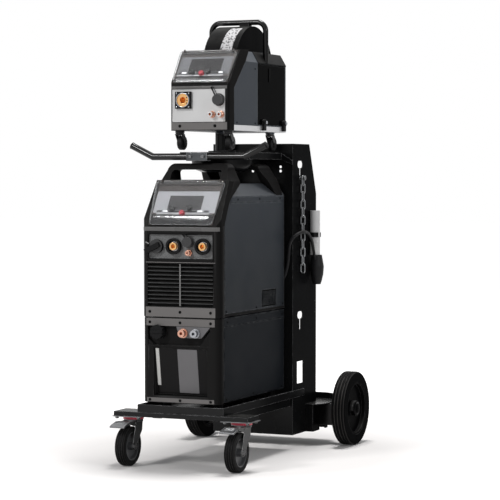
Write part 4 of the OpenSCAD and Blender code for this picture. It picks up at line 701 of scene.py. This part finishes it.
for piece, corners, radii, thick, y, rim, paint in (
        ("coupling_plate", [(-13, 447), (103, 447), (73, 412), (-1, 412)], [1, 1, 5, 5], 0.9, -409, 0.15, plate_grey),
        ("recess_corner_right", [(66, 386), (102.5, 386), (102.5, 434)], [0, 0, 2], 13.9, -395, 0.5, moulding),
        ("recess_corner_left", [(-112.5, 386), (-90, 386), (-112.5, 406)], [0, 2, 2], 12.9, -394, 0.5, moulding)):
    added(piece, plate([softened(corners, radii)], thick, y, rim=rim), paint)
lean_up = Vector((0, -22, 153)).normalized()
LEAN = Matrix(((1, 0, 0), (0, lean_up.y, -lean_up.z), (0, lean_up.z, lean_up.y)))
added("window_pane", plate([oblong(-90, 5, 90, 150, 5)], 0.5, (0, -384, 228), LEAN), smoked)
rim = [oblong(-91, 3.5, 91, 151.5, 6), oblong(-89.2, 5.3, 89.2, 149.7, 4.6)]
added("window_edge", plate(rim, 1.2, (0, -384, 228), LEAN), moulding)
added("bare_label_plate", plate([oblong(-12, 10, 56, 149, 2)], 0.5, (0, -384.5, 228), LEAN), plate_grey)
fasteners("cooler_front_screws", [(x, -410.2, z) for x in (-105, 0, 105) for z in (459, 215.5)], FORWARD, dark_screw,
          "cart", 4.6, 1.2, socket=0.6)
grip = plate([oblong(-98, 425, -56, 433, 3.5)], 3.4, -422.1, rim=0.8)
added("filler_cap_grip", grip, plug, "filler_cap")

# ---- Power source ----
# A sheet case in satin blue-grey between a black moulded front with louvres and a front arch handle, and a black
# rear frame with its own arch. Side sheets are screwed on; fan, transformer, heat sink and board are inside.
copper_wound = finish("wound_copper", (0.45, 0.2, 0.09), 0.4, 300, 0.08, drift=0.3, wear_and_highlight_amount=0.25, dusty=0.2, metal=0.8)
board_green = finish("board_green", (0.02, 0.12, 0.04), 0.4, 500, 0.03, drift=0.2, wear_and_highlight_amount=0.25, dusty=0.2)
# Pale grey for the rounded ledges on the black mouldings: painted highlight where the light glances off them.
ledge_painted_highlight = finish("ledge_painted_highlight", (0.1, 0.098, 0.097), 0.3, 700, 0.03, drift=0.15, wear_and_highlight_amount=0.3, wear_and_highlight_colour=0.4, edge=1.5,
                    dusty=0.05, gloss=0.4)
# Pale grey for the louvre slats' front edges: painted highlight.
slat_highlight = finish("slat_edge_painted_highlight", (0.07, 0.073, 0.074), 0.45, dusty=0.05, gloss=0.15)
rib_grey = finish("centre_rib_grey", (0.15, 0.148, 0.146), 0.42, 700, 0.02, drift=0.15, wear_and_highlight_amount=0.15, dusty=0.05)


def source_inside(low, high):
    return plug if low.y > 132 else cast_grey if high.z - low.z < 60 and high.x - low.x < 60 else inside_sheet


def power_finish(low, high):
    wide, tall = high.x - low.x, high.z - low.z
    return board_green if tall < 4 else copper_wound if wide == 120 or wide > 100 and tall < 125 else raw_steel


dressed("source_panels", "source_case_sheet", panel_grey)
dressed("source_front", "source_front_moulding", moulding)
dressed("source_rear", "source_rear_frame", moulding)
dressed("source_chassis", "source_base_and_partition", source_inside)
dressed("power_block", "transformer_heat_sink_and_board", power_finish)
dressed("source_fan", "cooling_fan", plug)
wall = softened([(-344.5, 485.5), (125, 485.5), (125, 831), (-307, 831), (-344.5, 786)], 2)
vent = oblong(-57, 490, 58, 545, 3)
band = softened([(-303, 833), (125, 833), (125, 850.5), (-287, 850.5)], 1.5)
for side, word in SIDES:
    side_plate("source_plinth_" + word, side, 123, [oblong(-371, 476.4, 131, 484, 1)], 0.5, moulding)
    side_plate("source_side_" + word, side, 123, [wall, vent], 0.9, panel_grey)
    side_plate("source_side_band_" + word, side, 123, [band], 0.9, panel_grey)
    # A black sheet in the vent opening, behind the slots: painted shade where the dark inside of the case would show.
    side_plate("source_vent_patch_" + word, side, 123, [vent], 0.25, dark_screw, rim=0.05)
    bars = grown(bar_rows, [(side * 123.3, -49.5, 517.5)], UP, Count=12, Step=(0, 0.009, 0),
                 Bar=(0.0008, 0.0045, 0.046), Finish=cooler_shaded_grey)
    added("source_vent_slots_" + word, bars, (), "cart")
    side_screws("source_side_screws_" + word, side, 124.2, ((-245, 842), (-74, 842), (93, 842), (-100, 492),
                                                            (-334, 492), (115, 492)))
source_face = (135, -409, 24)
wrapped_band("source_bottom_band", source_face, 476.4, 507, 120, 0.9, band_grey)
# A pale line along the top edge of the grille: painted highlight.
wrapped_band("grille_top_painted_highlight", source_face, 645.5, 648, 120, 0.9, band_grey)
# The console ledge: a rounded lip whose pale grey is a painted highlight.
wrapped_band("console_ledge", source_face, 744.5, 757, 131, 1.6, ledge_painted_highlight, rounding=0.0014)
wrapped_band("seam_strip", (132.4, -407, 24), 472.3, 475.7, 131.6, 0.6, moulding, rounding=0.0002)
fasteners("source_front_screws", [(x, -410.2, 492) for x in (-105, 0, 105)], FORWARD, dark_screw, "cart",
          4.6, 1.2, socket=0.6)
# Painted highlights: pale strips along the front edges of the black louvre slats.
edges = grown(bar_rows, [(0, -407.7, 519.4)], UP, Count=10, Step=(0, 0, 0.0125), Bar=(0.224, 0.0006, 0.0014),
              Finish=slat_highlight)
added("slat_edge_highlights", edges, ())
added("centre_rib_face", plate([oblong(-2.8, 511, 1.8, 645, 1)], 0.6, -408), rib_grey)
for side, word in SIDES:
    shadow = turned([(0, 0), (7.1, 0), (7.1, 0.3), (0, 0.3)], (side * 40, 132.9, 600), (0, 1, 0))
    added("outlet_shadow_" + word, shadow, plug)


# ---- Control panel ----
# A mid grey textured plate in the recess of the front: main switch with a black lever over a grey dial, two brass
# sockets in black insulators, a capped control socket and a copper gas outlet.
def speckled(tree, place):
    """Grey with fine dark and pale specks."""
    specks = ranged(tree, noise(tree, place, 620.0, 1.0), 0.38, 0.64)
    return blended(tree, specks, (0.075, 0.077, 0.078), (0.175, 0.178, 0.18))


def socket_finish(low, high):
    wide = high.x - low.x
    return plug if wide > 45 else cap_grey if wide > 30 else brass if wide > 23 else copper


control_grey = finish("control_plate_grey", (0.12, 0.12, 0.125), 0.42, 900, 0.03, drift=0.12, wear_and_highlight_amount=0.2, dusty=0.05,
                      pattern=speckled)
pale_rim = finish("pale_trim", 0.3, 0.35, 700, drift=0.15, wear_and_highlight_amount=0.2, wear_and_highlight_colour=0.5, dusty=0.05)
brass = finish("turned_brass", (0.74, 0.42, 0.17), 0.24, 1500, drift=0.15, wear_and_highlight_amount=0.35, wear_and_highlight_colour=(0.95, 0.74, 0.45),
               edge=1.0, dusty=0.03, metal=1.0)
cap_grey = finish("cap_dark_grey", (0.045, 0.045, 0.046), 0.5, 600, 0.04, drift=0.2, wear_and_highlight_amount=0.6, wear_and_highlight_colour=0.35,
                  edge=1.0, gloss=0.2)
dressed("control_panel", "control_plate", control_grey)
rim = [oblong(-110.2, 659, 110.2, 733, 5), oblong(-109, 660.2, 109, 731.8, 4)]
added("control_plate_rim", plate(rim, 1.0, -401.1), pale_rim, "cart")
dressed("current_sockets", "sockets_and_outlet", socket_finish)
for number, x in enumerate((-23, 77)):
    collar = turned([(12.3, 0), (15.2, 0), (15.2, 1.6), (12.3, 1.6), (12.3, 0)], (x, -403.4, 697))
    added("socket_collar_%d" % number, collar, bright, "cart")
    ribbed("socket_ribs_%d" % number, (x, -408.2, 697), plug, "cart", 24.9, 40, (1.2, 1.6, 11))
ribbed("remote_cap_ribs", (27, -412.4, 711), cap_grey, "cart", 15.9, 30, (1.2, 1.5, 12.5))
strap = [softened([(1, 741), (10, 747), (30, 722), (33, 709), (25, 704)], 3),
         softened([(6, 741), (10, 743.5), (26, 722), (28, 712), (25, 709)], 2)]
added("remote_cap_strap", plate(strap, 2.2, -404.5, rim=0.6), plug, "cart")
dressed("main_switch", "main_switch_lever", plug, rounding=0.0008)
switch = Vector((-83, 696))
dial = [[switch + Vector((r * cos(a), r * sin(a))) for a in circle(count)]
        for r, count in ((21.3, 40), (9, 24))]
added("switch_dial", plate(dial, 0.5, -412.9), cap_grey, "main_switch")
pointer = [switch + Matrix.Rotation(radians(64), 2) @ p for p in oblong(-1.4, 20, 1.4, 33, 1.2)]
added("switch_pointer", plate([pointer], 0.4, -423.9), pale_rim, "main_switch")
ribbed("dial_ticks", (-83, -401.2, 696), pale_rim, "cart", 26.6, 12, (2.6, 0.7, 0.6))

# ---- Keypads and clear covers ----
# A silver sheet with a dark display, three knobs and four keys on each slope, under a clear moulded cover that is
# hinged at its head. The covers are moulded polycarbonate; a pale bead round each rim is a painted highlight of its
# thick edge.
silver_sheet = finish("silver_keypad_sheet", (0.27, 0.27, 0.28), 0.34, 1600, drift=0.1, dusty=0.03, metal=0.3,
                      gloss=0.1)
# A darker copy of the silver sheet for the feeder's slope: painted shade.
feeder_shaded_sheet = finish("feeder_keypad_sheet_painted_shade", (0.11, 0.11, 0.115), 0.34, 1600, drift=0.1, dusty=0.03, metal=0.3,
                      gloss=0.1)
display_dark = finish("display_dark", (0.04, 0.039, 0.04), 0.18, 500, 0.002, drift=0.15, wear_and_highlight_amount=0.0, dusty=0.03,
                      gloss=0.3, coat=0.1)
feeder_display = finish("feeder_display_dark", (0.018, 0.0175, 0.018), 0.18, 500, 0.002, drift=0.15, wear_and_highlight_amount=0.0,
                        dusty=0.03, gloss=0.2)
strip_dark = finish("knob_strip_dark", (0.014, 0.014, 0.015), 0.3, wear_and_highlight_amount=0.05, gloss=0.1)
band_brown = finish("keypad_band_brown", (0.045, 0.039, 0.037), 0.36, 1100, drift=0.12, wear_and_highlight_amount=0.05, gloss=0.1)
key_black = finish("key_black", (0.01, 0.01, 0.011), 0.3)
key_white = finish("key_white", 0.66, 0.35, drift=0.08, wear_and_highlight_amount=0.05)
knob_black = finish("knob_gloss_black", (0.009, 0.009, 0.0095), 0.22, 1000, wear_and_highlight_amount=0.15, edge=0.8, coat=0.2)
knob_red = finish("knob_gloss_red", (0.28, 0.01, 0.022), 0.24, 1000, drift=0.12, wear_and_highlight_colour=(0.8, 0.3, 0.3), edge=0.8,
                  coat=0.3)
# The covers' rims: a pale bead that is a painted highlight of their thick edges.
cover_rim_highlight = finish("cover_rim_painted_highlight", (0.12, 0.125, 0.13), 0.22, drift=0.3, wear_and_highlight_amount=0.3, wear_and_highlight_colour=0.85, dusty=0.0, coat=0.3)

clear = bpy.data.materials.new("clear_cover")
clear.use_nodes = True
tree = clear.node_tree
haze = noise(tree, put(tree, "TexCoord").outputs["Object"], 30.0, 6.0)
glass = feed(tree, tree.nodes["Principled BSDF"], {
    "Transmission Weight": 1.0, "IOR": 1.12, "Coat Weight": 0.35, "Coat Roughness": 0.10,
    "Roughness": ranged(tree, haze, 0, 1, 0.015, 0.06),
    "Base Color": blended(tree, haze, (0.90, 0.91, 0.92), (0.97, 0.975, 0.98))})
through = put(tree, "BsdfTransparent", {"Color": (0.85, 0.86, 0.87, 1)})
shadow = put(tree, "LightPath").outputs["Is Shadow Ray"]
lets_light = put(tree, "MixShader", {0: shadow, 1: glass, 2: through})
feed(tree, tree.nodes["Material Output"], {"Surface": lets_light})


# Sheets and strips on a keypad: radius of the corners and thickness
LAYERS = {"silver_sheet": (2, 0.2), "brown_band": (2, 0.2), "dark_line": (1, 0.26), "foot_field": (4, 0.2),
          "display": (1.5, 0.28), "knob_strip": (2, 0.28), "bright_line": (1.5, 0.28)}


def keypad(word, body, foot, degrees, length, foot_w, head_w, sheet, display, boxes, keys, key_y, knobs):
    """The sheets, keys and knobs on one slope, and the clear cover over them. The slope starts at its foot (y, z)."""
    slope = Matrix.Rotation(radians(degrees), 3, "X")
    at = Vector((0, *foot)) + slope @ Vector((0, 0, 3.1))

    def on_slope(mesh):
        mesh.transform(Matrix.Translation(Vector((0, *foot)) / 1000) @ slope.to_4x4())
        return mesh

    # The last layer, a pale line at the foot of the silver sheet, is a painted highlight of the cover's foot.
    paints = (sheet, band_brown, strip_dark, strip_dark, display, strip_dark, pale_rim)
    for (name, (r, thick)), box, paint in zip(LAYERS.items(), boxes, paints):
        layer = plate([oblong(*box, r)], thick, at, slope, rim=0.04)
        added("%s_%s" % (word, name), layer, paint, body)
    for number, (x0, x1) in enumerate(keys):
        key = plate([oblong(x0, key_y - 3, x1, key_y + 3, 1.5)], 1.8, at, slope, rim=0.4)
        added("%s_key_%d" % (word, number), key, key_white if number in (1, 2) else key_black, body)
    for name, (x, y) in zip(("left", "middle", "right"), knobs):
        knob = "%s_knob_%s" % (word, name)
        paint = knob_red if name == "middle" else knob_black
        ribbed("%s_knob_ribs_%s" % (word, name), at + slope @ Vector((x, y, 5.2)), paint, knob, 7.6, 18,
               (0.9, 1.2, 7.4), look=slope @ Vector(UP))
        dressed(knob, "%s_turn_knob_%s" % (word, name), paint)
    rings = []
    for height, back, inset in ((3.6, 0, 0), (8, 1.0, 0.3), (13, 13, 1.2), (16.2, 24, 2.6), (17.3, 29, 4.6)):
        half0, half1, head = foot_w / 2 - inset, head_w / 2 - inset, length - 14 - inset * 0.5
        corners = [(-half0, 2 + back), (half0, 2 + back), (half1, head), (-half1, head)]
        rings.append([(*p, height) for p in softened(corners, [14, 14, 7, 7], steps=6)])
    cover = word + "_cover"
    shell = added(word + "_clear_cover", on_slope(skinned(rings, caps=(-1,))), clear, cover, smooth=40)
    wall = shell.modifiers.new("wall", "SOLIDIFY")
    wall.thickness = 0.0016
    wall.offset = -1
    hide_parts(cover)
    # Pale bead along the cover's rim, a painted highlight of its edge
    rim = bpy.data.curves.new("rim", "CURVE")
    rim.dimensions = "3D"
    rim.bevel_depth = 0.00095
    rim.bevel_resolution = 2
    looped(rim, [(x * (1 - 0.9 / (foot_w / 2)), y + (0.9 if y < 60 else -0.9), z + 0.9) for x, y, z in rings[0]])
    added(cover + "_rim", on_slope(ended(placed("rim", rim))), cover_rim_highlight, cover)
    barrel = turned([(2.3, 0), (3.9, 0), (3.9, foot_w - 30), (2.3, foot_w - 30), (2.3, 0)],
                    (15 - foot_w / 2, length - 10, 8), (1, 0, 0))
    added(cover + "_barrel", on_slope(barrel), clear, cover)


dressed("source_console", "source_keypad_plate", band_brown)
keypad("source", "cart", (-408, 760), 57.244, 170.039, 216, 238, silver_sheet, display_dark,
       [(-107, 46, 107, 125.5), (-107, 126, 107, 146.5), (-108, 147, 108, 150), (-106, 5, 106, 40),
        (-60, 56.5, 57, 109.5), (-55, 48.5, 46, 55.5), (-93, 41, 90, 45)],
       [(-93, -76), (-72, -57), (48, 64), (70, 87)], 52, [(-42, 60), (-3, 44), (18, 62)])


# ---- Wire feeder ----
# A sheet case with a black moulded front, a hoop handle over a round spool guard, a black side door with two turn
# latches above a bright edge rail, and four small castors. It swivels on the platform's pin.
def mottled(tree, place):
    """Pale film with small dark marks."""
    return blended(tree, ranged(tree, noise(tree, place, 165.0, 0.6), 0.36, 0.50), 0.05, (0.40, 0.395, 0.40))


def fitting_finish(low, high):
    wide, deep = high.x - low.x, high.y - low.y
    if deep > 400:
        return rail_silver
    if low.z > 1200:
        return band_brown
    return (plate_silver if wide > 150 else plug if wide > 50 else brass if wide > 41 else cap_grey if wide > 30
            else copper)


door_gloss = finish("door_gloss_black", (0.002, 0.0021, 0.0022), 0.16, 1600, wear_and_highlight_colour=0.3, edge=1.0, dusty=0.05,
                    gloss=(0.004, 0.2, 0.1))
guard_satin = finish("guard_satin_black", (0.0045, 0.0045, 0.0048), 0.38, 700, 0.04, wear_and_highlight_amount=0.15, edge=1.5, dusty=0.06,
                     gloss=(0.004, 0.03, 0.03))
hood_black = finish("hood_satin_black", (0.007, 0.0069, 0.007), 0.36, 900, 0.03, drift=0.2, wear_and_highlight_amount=0.15, edge=1.0,
                    dusty=0.1, gloss=(0.005, 0.05, 0.05))
rail_silver = finish("rail_aluminium", (0.6, 0.6, 0.61), 0.38, 1400, 0.03, drift=0.15, wear_and_highlight_amount=0.2, wear_and_highlight_colour=0.75,
                     edge=0.6, dusty=0.1, metal=0.85)
plate_silver = finish("front_plate_silver", 0.52, 0.36, 1700, 0.02, drift=0.1, wear_and_highlight_amount=0.15, wear_and_highlight_colour=0.7, dusty=0.04,
                      metal=0.35)
wire_grey = finish("wire_bright_grey", (0.62, 0.61, 0.6), 0.34, drift=0.45, dusty=0.0, metal=0.5)
film_grey = finish("window_film_grey", 0.5, 0.5, drift=0.1, wear_and_highlight_amount=0.05, dusty=0.0, gloss=0.2, pattern=mottled)
dressed("feeder_case", "feeder_case_sheet", panel_grey)
dressed("feeder_front", "feeder_front_moulding", moulding)
dressed("feeder_fittings", "feeder_front_fittings", fitting_finish)
dressed("hoop_handle", "hoop_handle_tube", tube_coat, smooth=40)
dressed("spool_guard", "spool_guard_cover", guard_satin, smooth=36)
dressed("feeder_door", "feeder_side_door", door_gloss)
dressed("drive_unit", "wire_drive_unit",
        lambda low, high: bright if high.x - low.x < 16 and high.z - low.z < 40 else cast_grey)
dressed("wire_spool", "wire_spool_flanges", lambda low, high: plug if high.x - low.x > 95 else cast_grey)
for word in ("front", "rear"):
    dressed("door_latch_" + word, "door_latch_%s_turn" % word, lambda low, high: bright if low.x > 111 else plug,
            rounding=0.0006)

# Wire on the spool, wound turn by turn with a fixed seed for its small unevenness
SPOOL_Y, SPOOL_Z = 35, 1250
windings, takes = growing("windings", Turns="Int", Step="Vector", Radius="Float", Wire="Float", Seed="Int")
turn_line = put(windings, "CurvePrimitiveCircle", {"Resolution": 72, "Radius": takes["Radius"]})
section = put(windings, "CurvePrimitiveCircle", {"Resolution": 5, "Radius": takes["Wire"]})
one_turn = put(windings, "CurveToMesh", {"Curve": turn_line, "Profile Curve": section})
uneven = put(windings, "FunctionNodeRandomValue", {"Min": 0.994, "Max": 1.0, "Seed": takes["Seed"]}, data_type="FLOAT")
layer = put(windings, "MeshLine", {"Count": takes["Turns"], "Offset": takes["Step"]})
spread_over(windings, takes, put(windings, "InstanceOnPoints",
                                 {"Points": layer, "Instance": one_turn, "Scale": uneven.outputs["Value"]}))
wire = grown(windings, [(-46.0, SPOOL_Y, SPOOL_Z)], (1, 0, 0), Turns=44, Step=(0, 0, 0.00203), Radius=0.1358,
             Wire=0.00085, Seed=7, Finish=wire_grey)
added("wire_turns", wire, (), "wire_spool")

# Curved film in the guard's window, between the two edges of the window
arc = [(155.6, a) for a in range(107, 154)] + [(154.6, a) for a in range(153, 106, -1)]
arc = [(SPOOL_Y + r * cos(radians(a)), SPOOL_Z + r * sin(radians(a))) for r, a in arc]
added("guard_window_film", plate([arc], 42.4, (-4.7, 0, 0), WALLS[1]), film_grey, "feeder")

# Black hood over the rear half of the case
for side, word in SIDES:
    hood = [(side * x, z) for x, z in ((103.2, 1280.5), (103.2, 1284.4), (82.9, 1319.4), (57.5, 1319.4), (57.5, 1318.1),
                                       (82.1, 1318.1), (102.1, 1283.4), (102.1, 1280.5))]
    if side < 0:
        hood = [(x if x < -58 else -61.5, z) for x, z in reversed(hood)]
    added("feeder_hood_" + word, plate([hood], 232, 191.5, rim=0.1), hood_black, "feeder")
rear = plate([oblong(-61, 178, 57, 191.5, 0.5)], 1.3, (0, 0, 1318.05), Matrix.Identity(3))
added("feeder_hood_rear", rear, hood_black, "feeder")
feeder_face = (102, -273, 14)
wrapped_band("feeder_bottom_band", feeder_face, 1062, 1085.5, 97, 0.8, band_grey, "feeder")
# The feeder's ledge: a rounded lip whose pale grey is a painted highlight.
wrapped_band("feeder_ledge", feeder_face, 1191, 1200, 97, 1.6, ledge_painted_highlight, "feeder", rounding=0.0014)
fasteners("feeder_front_screws", [(x, -274.1, 1074) for x in (-66, 57)], FORWARD, dark_screw, "feeder",
          5.0, 1.2, socket=0.6)
fasteners("feeder_side_screws", [(102.3, -205, 1086), (102.3, -62, 1086), (102.3, -62, 1262)], (1, 0, 0), dark_screw,
          "feeder", 3.0, 1.0)
fasteners("feeder_side_screws_left", [(-102.3, y, z) for y in (-205, -62, 80, 176) for z in (1086, 1266)], (-1, 0, 0),
          dark_screw, "feeder", 3.0, 1.0)
fasteners("flange_screws", [(-51 + x, -285, 1156 + z) for x in (-21.5, 21.5) for z in (-21.5, 21.5)], FORWARD, bright,
          "feeder", 2.6, 1.2)
rim = [oblong(-92, 1087, 92, 1190, 6), oblong(-90.6, 1088.4, 90.6, 1188.6, 5)]
strap = [softened([(43, 1196), (51, 1200), (67, 1172), (73, 1160), (62, 1160)], 3),
         softened([(48, 1195), (51, 1197), (65, 1172), (68, 1163), (63, 1165)], 2)]
torch = turned([(20.8, 0), (23.6, 0), (23.6, 1.4), (22.6, 2.2), (20.8, 2.2), (20.8, 0)], (-51, -284.6, 1156))
added("front_plate_rim", plate(rim, 0.9, -274.5), key_white, "feeder")
added("torch_ring", torch, bright, "feeder")
for number, (x, z) in enumerate(((-37.4, 1163.5), (-36.2, 1155), (-37.6, 1146.5))):
    pin = turned([(0, 0), (2.1, 0), (2.1, 0.25), (0, 0.25)], (x, -283.65, z), count=16)
    added("torch_pin_%d" % number, pin, dark_screw, "feeder")
ribbed("feeder_remote_ribs", (72, -285.2, 1156), cap_grey, "feeder", 16.9, 32, (1.2, 1.5, 11.5))
added("feeder_remote_strap", plate(strap, 2.4, -276.2, rim=0.6), plug, "feeder")
for x in (49, 80):
    ring = turned([(4.3, 0), (8.2, 0), (8.2, 0.7), (7.4, 1.1), (4.3, 1.1), (4.3, 0)], (x, -294.7, 1110))
    added("coupling_ring_%d" % x, ring, key_white, "feeder")
keypad("feeder", "feeder", (-267, 1208), 52.052, 138.225, 190, 200, feeder_shaded_sheet, feeder_display,
       [(-91, 34.5, 91, 108.5), (-91, 109, 91, 121), (-92, 121.5, 92, 124), (-91, 4, 91, 28), (-54, 46.5, 60, 100.5),
        (-52, 38, 54, 45.5), (-88, 29.5, 74, 33.5)],
       [(-84, -76), (-73, -57), (56, 70), (73, 86)], 42, [(-36, 43), (-2, 37), (19, 44)])

# ---- Small castors ----
# Pressed black forks with nuts on their axles, and black rubber wheels with a moulded groove on each face. The front
# pair is fixed and the rear pair swivels.
# The forks' colour carries painted shade on their side faces.
fork_black = finish("small_fork_black", (0.014, 0.014, 0.015), 0.3, 800, 0.02, wear_and_highlight_amount=0.5, wear_and_highlight_colour=0.45, edge=0.9,
                    dusty=0.1, metal=0.2, gloss=0.2, shade=(0.6, 1.0, 1.0))
small_tyre = finish("small_castor_rubber", (0.01, 0.01, 0.0105), 0.5, 500, 0.03, wear_and_highlight_amount=0.2, edge=1.0, dusty=0.1,
                    gloss=0.12)
for node in ("small_fork_front", "small_fork_rear_right", "small_fork_rear_left"):
    dressed(node, node + "_pressing", fork_black, rounding=0.0003)
for row, y in (("front", -218), ("rear", 115)):
    for side, word in SIDES:
        node = "small_wheel_%s_%s" % (row, word)
        dressed(node, node + "_moulding", small_tyre)
        hub = turned([(0, 0), (7.5, 0), (7.5, 0.4), (5, 0.9), (0, 1.0)], (side * 85 + 8.3, y, 1022), (1, 0, 0), 24)
        added(node + "_hub", hub, cap_grey, node)
